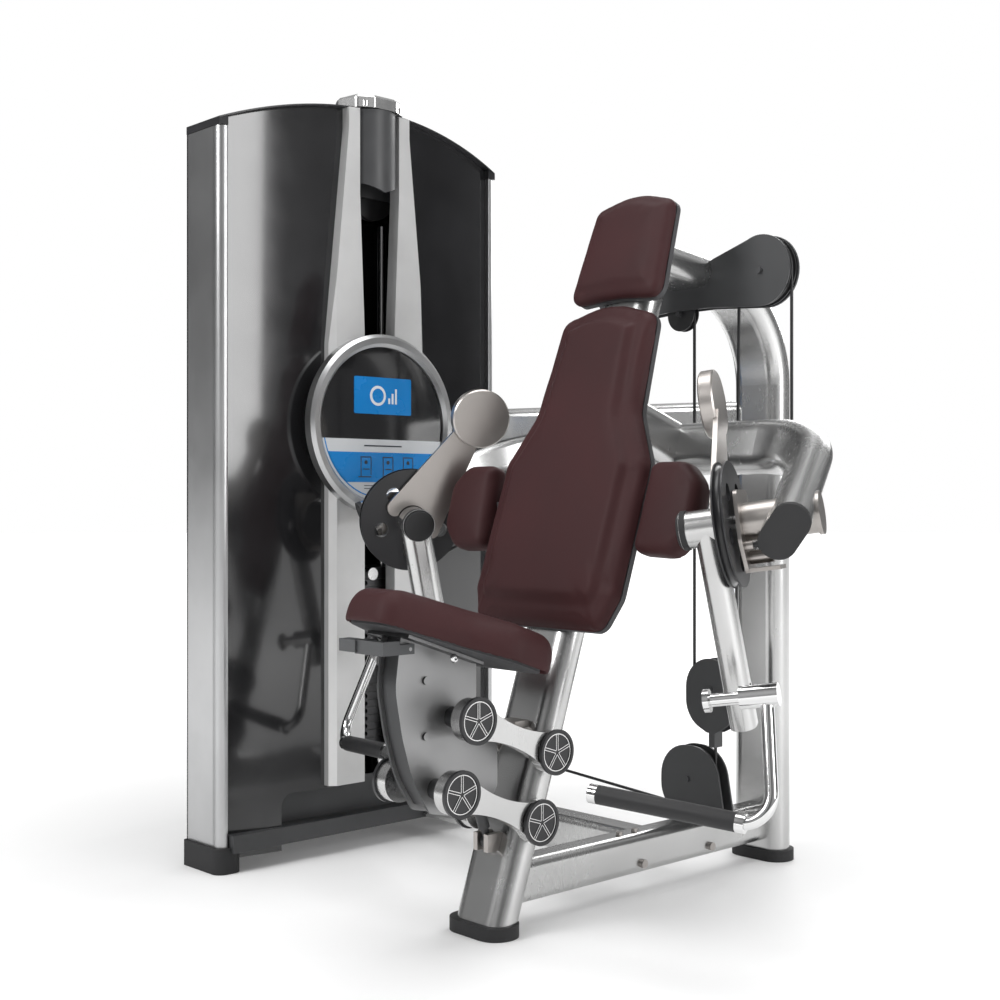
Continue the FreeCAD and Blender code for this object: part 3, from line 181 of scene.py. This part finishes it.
def shade_painted_plate(name, flat, painted_shade_colour):
    """Satin plate with painted shade: its broad side faces keep the flat colour, its rolled edges and other
    faces take a darker painted shade colour.
    """
    finish = Finish(name, flat, metallic=1.0, roughness=0.42)
    normal = finish.tree.nodes.new("ShaderNodeTexCoord").outputs["Normal"]
    split = finish.tree.nodes.new("ShaderNodeSeparateXYZ")
    finish.tree.links.new(normal, split.inputs["Vector"])
    side = finish.add(split.outputs["X"], split.outputs["X"], "MULTIPLY")
    cloud = finish.noise(8.0, 3.0)
    # painted shade: the colour follows the normal, darker where a face turns away from X
    finish.colours(finish.add(side, finish.add(cloud, 0.12, "MULTIPLY")), painted_shade_colour, flat, 0.35, 0.75)
    finish.roughness(finish.ramp(cloud, 0.36, 0.5))
    finish.bump(finish.noise(500.0, 3.0), 0.0001, 0.3)
    return finish.material


silver = brushed("silver frame paint", (0.56, 0.56, 0.557), 0.25, 0.28, (160, 160, 40))
steel = brushed("brushed steel", (0.42, 0.395, 0.375), 0.30, 0.36, (40, 320, 320), 0.10)
chrome = brushed("chrome", (0.72, 0.72, 0.72), 0.07, 0.16, (60, 60, 60), 0.03)
aluminium = brushed("aluminium extrusion", (0.47, 0.473, 0.477), 0.30, 0.34, (400, 400, 6))
trim = brushed("chrome trim", (0.70, 0.70, 0.697), 0.22, 0.30, (160, 160, 40))
light_trim = brushed("silver trim", (0.70, 0.70, 0.697), 0.32, 0.36, (160, 160, 40), metallic=0.55)
plate_steel = brushed("painted plate steel", (0.13, 0.13, 0.133), 0.34, 0.52, (90, 90, 300), 0.2)
panel_black = moulded("gloss tower panel", (0.012, 0.012, 0.013), 0.10, 0.16, 60.0, 0.00004, 0.25, 0.6)
dark_metal = moulded("dark powder coat", (0.045, 0.046, 0.048), 0.36, 0.52)
lever_grey = moulded("dark grey cast lever", (0.06, 0.062, 0.065), 0.34, 0.5)
rubber = moulded("black rubber", (0.016, 0.016, 0.017), 0.55, 0.75, 1100.0, 0.0002)
grip_rubber = moulded("grip rubber", (0.012, 0.012, 0.013), 0.42, 0.6, 1300.0, 0.0003)
plastic = moulded("black plastic", (0.018, 0.018, 0.02), 0.28, 0.42)
pulley_plastic = moulded("pulley nylon", (0.022, 0.022, 0.023), 0.3, 0.45)
board_black = moulded("board edge", (0.05, 0.05, 0.053), 0.5, 0.68, 400.0, 0.0002)
jacket = moulded("cable jacket", (0.010, 0.010, 0.011), 0.3, 0.42, 1500.0)
screen_black = moulded("display gloss", (0.010, 0.010, 0.011), 0.06, 0.10, 50.0, 0.00002, 0.2, 0.8)
maroon = leather("maroon upholstery", (0.040, 0.0118, 0.0128))
blue = moulded("display blue", (0.0, 0.215, 0.60), 0.22, 0.32, 300.0, 0.00003, 0.05)
label_grey = moulded("label grey", (0.62, 0.64, 0.66), 0.3, 0.42, 300.0, 0.00003, 0.04)
label_dark = moulded("label dark", (0.03, 0.035, 0.045), 0.3, 0.42, 300.0, 0.00003, 0.1)
label_white = moulded("label white", (0.80, 0.82, 0.85), 0.3, 0.42, 300.0, 0.00003, 0.03)
# the seat plate's darker second colour is painted shade on its rolled edges and front band
carriage_grey = shade_painted_plate("seat plate satin", (0.33, 0.33, 0.332), (0.075, 0.076, 0.078))

SLOT_FINISH = {
    "silver_frame": silver, "brushed_steel": steel, "chrome": chrome, "black_panel": panel_black,
    "dark_metal": dark_metal, "aluminium": aluminium, "light_trim": light_trim, "black_rubber": rubber,
    "black_plastic": plastic, "pulley_plastic": pulley_plastic, "upholstery": maroon,
    "board": board_black, "cable_jacket": jacket, "weight_steel": plate_steel, "screen": screen_black,
}
NODE_FINISH = {
    "seat_carriage": carriage_grey, "seat_lever": lever_grey, "tower_crown": trim, "tower_base": dark_metal,
    "left_grip": grip_rubber, "right_grip": grip_rubber, "left_lever": silver, "right_lever": silver,
    "left_cam": plastic, "right_cam": plastic,
}
for part in frame["record"]["subparts"]:
    coats = NODES[part["node"]].data.materials
    coats.clear()
    coats.append(NODE_FINISH.get(part["node"], SLOT_FINISH[part["material_slot"]]))


# ---- mesh helpers ----
def linked(name, mesh, material, body):
    """New piece from a finished mesh, riding on a body."""
    mesh.materials.append(material)
    obj = bpy.data.objects.new(name, mesh)
    bpy.context.scene.collection.objects.link(obj)
    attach(obj, body)
    return obj


def mesh_from(name, bm):
    bmesh.ops.recalc_face_normals(bm, faces=bm.faces)
    mesh = bpy.data.meshes.new(name)
    bm.to_mesh(mesh)
    bm.free()
    return mesh


def circle(radius, z, around):
    """Points of a level ring about the origin."""
    turns = [2 * math.pi * k / around for k in range(around)]
    return [Vector((radius * math.cos(turn), radius * math.sin(turn), z)) for turn in turns]


def rounded_outline(corners, steps=8):
    """Points of a polygon whose (x, y, radius) corners are rounded."""
    points = []
    for i, (x, y, radius) in enumerate(corners):
        here = Vector((x, y))
        before = Vector(corners[i - 1][:2]) - here
        after = Vector(corners[(i + 1) % len(corners)][:2]) - here
        half = before.angle(after) / 2
        reach = min(radius / math.tan(half), before.length * 0.49, after.length * 0.49)
        start = here + before.normalized() * reach
        end = here + after.normalized() * reach
        for k in range(steps + 1):
            t = k / steps
            points.append(start * (1 - t) ** 2 + here * 2 * t * (1 - t) + end * t * t)
    return points


def plate(name, outline, place, depth, material, body, bevel):
    """Thin plate from a flat outline, z from 0 to depth in its own frame, with softened edges."""
    bm = bmesh.new()
    low = [bm.verts.new((p[0], p[1], 0)) for p in outline]
    high = [bm.verts.new((p[0], p[1], depth)) for p in outline]
    bm.faces.new(low)
    top = bm.faces.new(high)
    for i in range(len(low)):
        k = (i + 1) % len(low)
        bm.faces.new((low[i], low[k], high[k], high[i]))
    bmesh.ops.bevel(bm, geom=list(top.edges), offset=min(bevel, depth * 0.45), segments=2, affect="EDGES")
    bm.transform(place)
    return linked(name, mesh_from(name, bm), material, body)


def turned(name, profile, place, material, body, around=48):
    """Solid of revolution about local Z through (radius, z) points."""
    bm = bmesh.new()
    rings = []
    for radius, z in profile:
        if radius < 1e-6:
            rings.append([bm.verts.new((0, 0, z))])
        else:
            rings.append([bm.verts.new(point) for point in circle(radius, z, around)])
    for a, b in zip(rings, rings[1:]):
        for k in range(around):
            n = (k + 1) % around
            corners = [a[k % len(a)], a[n % len(a)], b[n % len(b)], b[k % len(b)]]
            corners = list(dict.fromkeys(corners))
            if len(corners) > 2:
                bm.faces.new(corners)
    bm.transform(place)
    mesh = mesh_from(name, bm)
    mesh.shade_smooth()
    mesh.set_sharp_from_angle(angle=math.radians(35))
    return linked(name, mesh, material, body)


def axes(origin, z_axis, x_axis):
    """Frame at origin whose Z is z_axis and whose X leans towards x_axis."""
    z = Vector(z_axis).normalized()
    y = z.cross(Vector(x_axis)).normalized()
    x = y.cross(z)
    return Matrix.Translation(Vector(origin)) @ Matrix((x, y, z)).transposed().to_4x4()


# ---- upholstered pads ----
def edge_distance(points, outline):
    """Distance of each point from the outline, in the plane."""
    best = np.full(len(points), 1e9)
    ring = np.array([tuple(p) for p in outline])
    for a, b in zip(ring, np.roll(ring, -1, axis=0)):
        run = b - a
        length = max(run @ run, 1e-12)
        t = np.clip(((points - a) @ run) / length, 0, 1)
        gap = np.linalg.norm(points - (a + t[:, None] * run), axis=1)
        best = np.minimum(best, gap)
    return best


VOXEL = 0.0048
SLAB = 0.03
SKIRT_WIDTH = 0.0062
HELD_HEIGHT = 0.0015
CLOTH_FRAMES = 20


def swollen(obj, rest, under, puff):
    """Cloth under pressure with its underside held; no point moves further than puff."""
    cloth = obj.modifiers.new("cloth", "CLOTH")
    cloth.settings.use_pressure = True
    cloth.settings.uniform_pressure_force = 4.0
    cloth.settings.tension_stiffness = 40
    cloth.settings.compression_stiffness = 40
    cloth.settings.bending_stiffness = 4
    cloth.settings.effector_weights.gravity = 0
    cloth.point_cache.frame_start = 1
    cloth.point_cache.frame_end = CLOTH_FRAMES
    group = obj.vertex_groups.new(name="held")
    held = [int(i) for i in np.nonzero(rest[:, 2] < under + HELD_HEIGHT)[0]]
    group.add(held, 1.0, "ADD")
    cloth.settings.vertex_group_mass = "held"
    for step in range(1, CLOTH_FRAMES + 1):
        bpy.context.scene.frame_set(step)
    bpy.ops.object.modifier_apply(modifier=cloth.name)
    bpy.context.scene.frame_set(1)
    moved = np.empty(rest.size)
    obj.data.vertices.foreach_get("co", moved)
    moved = moved.reshape(-1, 3) - rest
    length = np.linalg.norm(moved, axis=1, keepdims=True)
    return rest + moved * puff * np.tanh(length / puff) / np.maximum(length, 1e-9)


def pad(name, node, body, corners, place, height, puff=0.004, base=0.0, skirt=0.0):
    """Cushion on a flat base, from a slab with the outline of the corners, in mm.

    Its top is height(distance from the edge, x, y), its underside is base, and its rim is skirt lower.
    """
    outline = rounded_outline([(x / 1000, y / 1000, r / 1000) for x, y, r in corners])
    bm = bmesh.new()
    low = [bm.verts.new((*p, 0)) for p in outline]
    high = [bm.verts.new((*p, SLAB)) for p in outline]
    bm.faces.new(low)
    bm.faces.new(high)
    for i in range(len(low)):
        k = (i + 1) % len(low)
        bm.faces.new((low[i], low[k], high[k], high[i]))
    obj = bpy.data.objects.new(name, mesh_from(name, bm))
    bpy.context.scene.collection.objects.link(obj)
    bpy.context.view_layer.objects.active = obj
    remesh = obj.modifiers.new("remesh", "REMESH")
    remesh.mode = "VOXEL"
    remesh.voxel_size = VOXEL
    bpy.ops.object.modifier_apply(modifier=remesh.name)
    co = np.empty(len(obj.data.vertices) * 3)
    obj.data.vertices.foreach_get("co", co)
    co = co.reshape(-1, 3)
    gap = edge_distance(co[:, :2], outline)
    top = height(gap, co[:, 0], co[:, 1])
    under = np.where(gap < SKIRT_WIDTH, base - skirt, base)
    co[:, 2] = under + np.clip(co[:, 2] / SLAB, 0, 1) * (top - under)
    obj.data.vertices.foreach_set("co", co.ravel())
    obj.data.update()
    co = swollen(obj, co.copy(), under, puff)
    obj.data.vertices.foreach_set("co", co.ravel())
    obj.data.update()
    smooth = obj.modifiers.new("smooth", "SMOOTH")
    smooth.factor = 0.5
    smooth.iterations = 3
    bpy.ops.object.modifier_apply(modifier=smooth.name)
    division = obj.modifiers.new("division", "SUBSURF")
    division.levels = 1
    bpy.ops.object.modifier_apply(modifier=division.name)
    obj.data.transform(place)
    obj.data.shade_smooth()
    obj.data.materials.append(maroon)
    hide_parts(node)
    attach(obj, body)


def rounding(gap, wall, full, radius):
    """Height that rises from wall at the edge to full at radius, on a quarter circle."""
    t = np.clip(gap / radius, 0, 1)
    return wall + (full - wall) * np.sqrt(1 - (1 - t) ** 2)


def ramped(value, start, end):
    """Smooth step from 0 at start to 1 at end."""
    t = np.clip((value - start) / (end - start), 0, 1)
    return t * t * (3 - 2 * t)


POST_TILT = math.radians(19.0)
POST_UP = Vector((0, math.sin(POST_TILT), math.cos(POST_TILT)))
POST_OUT = Vector((0, -math.cos(POST_TILT), math.sin(POST_TILT)))
PAD_BASE = 0.0413
# corners are (x, y, radius) in mm, from the bottom edge's centre
back_corners = [(-152, 0, 26), (152, 0, 26), (176, 60, 40), (176, 300, 60), (126, 396, 70), (112, 586, 34),
                (0, 618, 240), (-112, 586, 34), (-126, 396, 70), (-176, 300, 60), (-176, 60, 40)]
head_corners = [(-109, 0, 24), (0, 10, 300), (109, 0, 24), (94, 196, 26), (0, 222, 200), (-94, 196, 26)]


def back_height(gap, x, y):
    """A low border, a step at the sewn line, then the crowned middle."""
    edge = rounding(gap, 0.007, 0.0205, 0.013)
    inner = ramped(gap, 0.030, 0.044)
    lower = ramped(y, 0.036, 0.058)
    crown = 0.002 * (1 - (x / 0.18) ** 2)
    return edge + (0.0115 + crown) * inner * lower


def head_height(gap, x, y):
    edge = rounding(gap, 0.008, 0.0225, 0.014)
    inner = ramped(gap, 0.012, 0.03)
    lower = ramped(y, 0.016, 0.034)
    crown = 0.003 * (1 - (x / 0.11) ** 2)
    return edge + (0.006 + crown) * inner * lower


pad("back_cushion", "back_pad", "frame", back_corners,
    axes(POST_UP * 0.522 + POST_OUT * PAD_BASE, POST_OUT, (1, 0, 0)), back_height)
pad("head_cushion", "head_pad", "frame", head_corners,
    axes(POST_UP * 1.140 + POST_OUT * PAD_BASE, POST_OUT, (1, 0, 0)), head_height)

WING_TILT = math.radians(15.0)
wing_out = Vector((0, -math.cos(WING_TILT), math.sin(WING_TILT)))
wing_corners = [(184, 0, 18), (268, -4, 40), (304, 36, 40), (304, 124, 46), (266, 160, 34), (194, 160, 20)]
for side, sign in (("left", 1), ("right", -1)):
    corners = [(sign * x, y, r) for x, y, r in wing_corners]
    corners = corners if sign > 0 else corners[::-1]
    pad(side + "_wing_cushion", side + "_wing_pad", "frame", corners,
        axes((0, 0.199, 0.6335), wing_out, (1, 0, 0)),
        lambda gap, x, y: rounding(gap, 0.024, 0.0435, 0.017) + 0.002 * ramped(gap, 0.015, 0.05))

slope = math.tan(math.radians(19.0))
seat_up = Vector((0, slope, 1)).normalized()
seat_outline = [(-48, -6, 30), (48, -6, 30), (100, 118, 120), (144, 190, 60), (142, 272, 36),
                (-142, 272, 36), (-144, 190, 60), (-100, 118, 120)]
seat_corners = [(x * 1.09, y - 12 if y < 0 else y + 10 if y > 250 else y, r + 8) for x, y, r in seat_outline]


def seat_height(gap, x, y):
    return rounding(gap, 0.022, 0.0575, 0.030) + 0.003 * ramped(gap, 0.02, 0.09)


pad("seat_cushion", "seat_pad", "seat", seat_corners,
    axes((0, -0.246, 0.534), seat_up, (1, 0, 0)) @ Matrix.Translation((0, 0, 0.0043)), seat_height,
    puff=0.005, base=0.0083, skirt=0.0118)

# ---- display: screen and instruction placard, generic marks only ----
FACE = axes((-0.571, 0.235, 0.887), (1, 0, 0), (0, 1, 0))
FACE_R = 0.1612


def raised(height):
    """Frame on the display's face, height above it: X is its right, Y is up."""
    return FACE @ Matrix.Translation((0, 0, height))


def right_arc(low, high, radius, steps=14):
    """Points up the right side of a circle between two heights."""
    heights = [low + (high - low) * k / steps for k in range(steps + 1)]
    return [(math.sqrt(radius ** 2 - v ** 2), v) for v in heights]


def left_arc(low, high, radius):
    """Points down the left side of a circle between two heights."""
    return [(-u, v) for u, v in reversed(right_arc(low, high, radius))]


def chord_band(low, high, right=FACE_R, left=FACE_R):
    """Strip across the round face between two heights."""
    return right_arc(low, high, right) + left_arc(low, high, left)


def bar_outline(u, v, width, height, radius=0.001):
    low_u, high_u, low_v, high_v = u - width / 2, u + width / 2, v - height / 2, v + height / 2
    return rounded_outline([(low_u, low_v, radius), (high_u, low_v, radius),
                            (high_u, high_v, radius), (low_u, high_v, radius)], 3)


def ring_outline(u, v, radius, count=24):
    return [(u + x, v + y) for x, y, z in circle(radius, 0, count)]


def mark(name, outline, rise, depth, material, bevel=0.0004):
    plate(name, outline, raised(rise), depth, material, "frame", bevel)


mark("display_screen", bar_outline(0, 0.060, 0.151, 0.077, 0.004), 0.0, 0.0010, blue)
mark("screen_dial", ring_outline(-0.014, 0.060, 0.021), 0.0010, 0.0005, label_white)
mark("screen_dial_centre", ring_outline(-0.014, 0.060, 0.015), 0.0015, 0.0004, blue)
for index, length in enumerate((0.012, 0.022, 0.032)):
    mark("screen_bar_%d" % index, bar_outline(0.016 + 0.009 * index, 0.044 + length / 2, 0.005, length),
         0.0010, 0.0005, label_white)
mark("placard", chord_band(-0.1600, -0.031), 0.0, 0.0006, label_grey)
mark("placard_blue", chord_band(-0.120, -0.058, FACE_R - 0.002, FACE_R - 0.008), 0.0006, 0.0004, blue)
outer_arc = left_arc(-0.150, -0.031, FACE_R - 0.0065)
inner_arc = left_arc(-0.150, -0.031, FACE_R - 0.009)
mark("placard_line", outer_arc + inner_arc[::-1], 0.0006, 0.0004, blue)


def pictogram(name, u, v, lean):
    """Plain line drawing of a seat, a post and a lever."""
    outlines = [bar_outline(u - 0.012, v, 0.0022, 0.040),
                bar_outline(u + 0.014, v + 0.002, 0.0022, 0.036),
                bar_outline(u, v + 0.021, 0.028, 0.0022),
                bar_outline(u + 0.002, v - 0.004, 0.016, 0.0022),
                bar_outline(u + 0.002 + lean, v - 0.020, 0.034, 0.0022),
                ring_outline(u + 0.001, v + 0.010, 0.0042, 14)]
    for index, outline in enumerate(outlines):
        mark("%s_%d" % (name, index), outline, 0.0010, 0.0003, label_dark, 0.0001)


for letter, u, lean in (("a", -0.046, -0.004), ("b", 0.012, 0.004), ("c", 0.066, -0.002)):
    pictogram("pictogram_" + letter, u, -0.089, lean)
for row in range(4):
    line = -0.127 - row * 0.006
    for column, (start, length) in enumerate(((-0.050, 0.034), (-0.006, 0.026), (0.030, 0.030))):
        if abs(start) + length < math.sqrt(FACE_R ** 2 - line ** 2):
            mark("placard_dash_%d_%d" % (row, column),
                 bar_outline(start + length / 2, line, length, 0.0014, 0.0005),
                 0.0006, 0.0003, label_dark, 0.0001)
mark("placard_heading", bar_outline(0.0, -0.0445, 0.100, 0.003), 0.0006, 0.0003, label_dark, 0.0001)

# ---- seat linkage caps: five double spokes in a dark dish, inside a thin ring ----
CAP_X = 0.0891
RING_SECTION = ((0.0302, 0.0), (0.0302, 0.0013), (0.0318, 0.0013), (0.0318, 0.0))
SPOKE_SIZE = (0.0285, 0.0011, 0.0013)
SPOKE_CENTRE, SPOKE_OFFSET, SPOKE_RISE = 0.0172, 0.0021, 0.0006
LINK_ARM = (-0.178, 0.071)


def joined(bm, a, b):
    """Band of faces between two rings of points."""
    for k in range(len(a)):
        n = (k + 1) % len(a)
        bm.faces.new((a[k], a[n], b[n], b[k]))


def cap_spokes(name, body, fixed, moving):
    bm = bmesh.new()
    for sign in (-1, 1):
        for centre in (fixed, moving):
            place = axes((sign * CAP_X, centre[0], centre[1]), (sign, 0, 0), (0, 1, 0))
            for k in range(5):
                turn = Matrix.Rotation(math.radians(90 + 72 * k), 4, "Z")
                for offset in (-SPOKE_OFFSET, SPOKE_OFFSET):
                    shift = Matrix.Translation((SPOKE_CENTRE, offset, SPOKE_RISE))
                    made = bmesh.ops.create_cube(bm, size=1.0)["verts"]
                    bmesh.ops.transform(bm, verts=made,
                                        matrix=place @ turn @ shift @ Matrix.Diagonal((*SPOKE_SIZE, 1)))
            rings = [[bm.verts.new(place @ point) for point in circle(radius, z, 60)]
                     for radius, z in RING_SECTION]
            for a, b in zip(rings, rings[1:] + rings[:1]):
                joined(bm, a, b)
    linked(name, mesh_from(name, bm), trim, body)


for name, y, z in (("upper", 0.0845, 0.305), ("lower", 0.049, 0.192)):
    cap_spokes(name + "_cap_spokes", name + "_links", (y, z), (y + LINK_ARM[0], z + LINK_ARM[1]))


# ---- cables whose free length changes ----
CABLE_R = 0.003


def strand(bm, start, end):
    """Straight cable in 20 mm steps."""
    start, end = Vector(start), Vector(end)
    steps = max(4, int((end - start).length / 0.02))
    place = axes((0, 0, 0), end - start, (0, 1, 0))
    section = [place @ point for point in circle(CABLE_R, 0, 14)]
    rings = []
    for i in range(steps + 1):
        centre = start.lerp(end, i / steps)
        rings.append([bm.verts.new(centre + point) for point in section])
    for a, b in zip(rings, rings[1:]):
        joined(bm, a, b)
    bm.faces.new(rings[0])
    bm.faces.new(rings[-1])


def stretching(name, node, runs):
    """Cables that stretch between a fixed end and one that moves with a body."""
    bm = bmesh.new()
    for start, end in runs:
        strand(bm, start, end)
    mesh = mesh_from(name, bm)
    mesh.shade_smooth()
    mesh.set_sharp_from_angle(angle=math.radians(50))
    mesh.materials.append(jacket)
    obj = bpy.data.objects.new(name, mesh)
    bpy.context.scene.collection.objects.link(obj)
    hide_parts(node)
    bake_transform(obj)


stretching("stack_line", "stack_cable", [((-0.690, 0.238, 1.3985), (-0.690, 0.238, 0.614))])
stretching("block_lines", "block_cables",
           [((0.113, 0.550, 1.0915), (0.105, 0.550, 0.367)), ((0.005, 0.550, 1.0915), (0.005, 0.550, 0.367))])
stretching("lift_line", "lift_cable", [((0.057, 0.550, 0.1885), (0.057, 0.550, 0.2558))])


# ---- small hardware ----
def button_head(name, place, radius, height, body):
    """Domed socket screw head."""
    turned(name, [(radius, 0), (radius, height * 0.35), (radius * 0.82, height * 0.8), (radius * 0.5, height),
                  (radius * 0.42, height), (radius * 0.40, height * 0.45), (0, height * 0.45)], place, chrome,
           body, 28)


for side, sign in (("left", 1), ("right", -1)):
    turned(side + "_hub_cap",
           [(0, -0.0142), (0.0255, -0.0142), (0.0276, -0.0128), (0.0278, -0.0094), (0.0302, -0.0094),
            (0.0317, -0.0080), (0.0317, 0.0004), (0, 0.0004)],
           axes((sign * 0.334, 0.133, 0.682), (sign * 0.881, 0.449, 0.139), (0, 0, 1)), rubber,
           side + "_arm")
for index, (x, y, z) in enumerate(((0.0565, -0.118, 0.476), (0.0565, -0.108, 0.366))):
    for side, sign in (("left", 1), ("right", -1)):
        button_head("seat_plate_screw_%s_%d" % (side, index), axes((sign * x, y, z), (sign, 0, 0), (0, 1, 0)),
                    0.0075, 0.006, "seat")

# ---- stage, lights and camera ----
bpy.context.scene.view_settings.view_transform = "Standard"
FLOOR_R = 30.0
finish = Finish("pale floor", (0.86, 0.86, 0.86), roughness=0.6)
finish.colours(finish.noise(3.0, 5.0), (0.85, 0.85, 0.85), (0.88, 0.88, 0.88))
finish.bump(finish.noise(90.0, 3.0), 0.0004, 0.2)
# the floor brightens with distance, so that no horizon line shows
reach = finish.tree.nodes.new("ShaderNodeVectorMath")
reach.operation = "LENGTH"
finish.tree.links.new(finish.place, reach.inputs[0])
glow = finish.ramp(reach.outputs["Value"], 0.10, 1.0, 1.0, 4.5)
finish.shader.inputs["Emission Color"].default_value = (1, 1, 1, 1)
finish.tree.links.new(glow, finish.shader.inputs["Emission Strength"])
bm = bmesh.new()
bmesh.ops.create_circle(bm, cap_ends=True, cap_tris=False, segments=96, radius=FLOOR_R)
floor = bpy.data.objects.new("floor", mesh_from("floor", bm))
floor.location = (-0.1, 0.25, cad_box[0][2] - 0.0005)
floor.data.materials.append(finish.material)
bpy.context.scene.collection.objects.link(floor)

# the camera sees plain white; reflections see a grey to white sky with soft bands, like studio panels
world = bpy.data.worlds.new("studio")
world.use_nodes = True
bpy.context.scene.world = world
tree = world.node_tree
background = tree.nodes["Background"]
background.inputs["Strength"].default_value = 0.55
coordinates = tree.nodes.new("ShaderNodeTexCoord")
split = tree.nodes.new("ShaderNodeSeparateXYZ")
shade = tree.nodes.new("ShaderNodeValToRGB")
shade.color_ramp.elements[0].position = 0.0
shade.color_ramp.elements[0].color = (0.42, 0.42, 0.425, 1)
shade.color_ramp.elements[1].position = 0.75
shade.color_ramp.elements[1].color = (1.0, 1.0, 1.0, 1)
tree.links.new(coordinates.outputs["Generated"], split.inputs["Vector"])
tree.links.new(split.outputs["Z"], shade.inputs["Fac"])
path = tree.nodes.new("ShaderNodeLightPath")
clear = tree.nodes.new("ShaderNodeBackground")
clear.inputs["Color"].default_value = (1, 1, 1, 1)
clear.inputs["Strength"].default_value = 1.0
choose = tree.nodes.new("ShaderNodeMixShader")
bands = tree.nodes.new("ShaderNodeTexWave")
bands.inputs["Scale"].default_value = 0.42
bands.inputs["Phase Offset"].default_value = 1.1
tree.links.new(coordinates.outputs["Generated"], bands.inputs["Vector"])
level = tree.nodes.new("ShaderNodeMapRange")
level.inputs["To Min"].default_value = 0.30
level.inputs["To Max"].default_value = 1.25
tree.links.new(bands.outputs["Fac"], level.inputs["Value"])
panels = tree.nodes.new("ShaderNodeVectorMath")
panels.operation = "SCALE"
tree.links.new(shade.outputs["Color"], panels.inputs[0])
tree.links.new(level.outputs["Result"], panels.inputs["Scale"])
tree.links.new(panels.outputs["Vector"], background.inputs["Color"])
tree.links.new(path.outputs["Is Camera Ray"], choose.inputs["Fac"])
tree.links.new(background.outputs["Background"], choose.inputs[1])
tree.links.new(clear.outputs["Background"], choose.inputs[2])
tree.links.new(choose.outputs["Shader"], tree.nodes["World Output"].inputs["Surface"])

TARGET = Vector((-0.25, 0.25, 0.75))


def softbox(name, place, size, power):
    data = bpy.data.lights.new(name, "AREA")
    data.shape = "RECTANGLE"
    data.size, data.size_y = size
    data.energy = power
    obj = bpy.data.objects.new(name, data)
    obj.location = place
    obj.rotation_euler = (TARGET - Vector(place)).to_track_quat("-Z", "Y").to_euler()
    bpy.context.scene.collection.objects.link(obj)


softbox("key", (-0.9, -3.4, 2.9), (1.6, 1.6), 90)
softbox("side", (3.6, 0.9, 1.9), (0.9, 2.4), 55)
softbox("top", (0.1, 0.2, 3.9), (2.4, 2.4), 70)
softbox("rear", (-1.2, 3.6, 2.3), (2.0, 1.4), 45)

camera_data = bpy.data.cameras.new("camera")
camera_data.lens = 52.02
camera_data.sensor_width = 36.0
camera = bpy.data.objects.new("camera", camera_data)
camera.location = (1.8035, -1.6457, 0.730)
camera.rotation_euler = Vector((-0.731, 0.682, 0.0)).to_track_quat("-Z", "Y").to_euler()
bpy.context.scene.collection.objects.link(camera)
bpy.context.scene.camera = camera
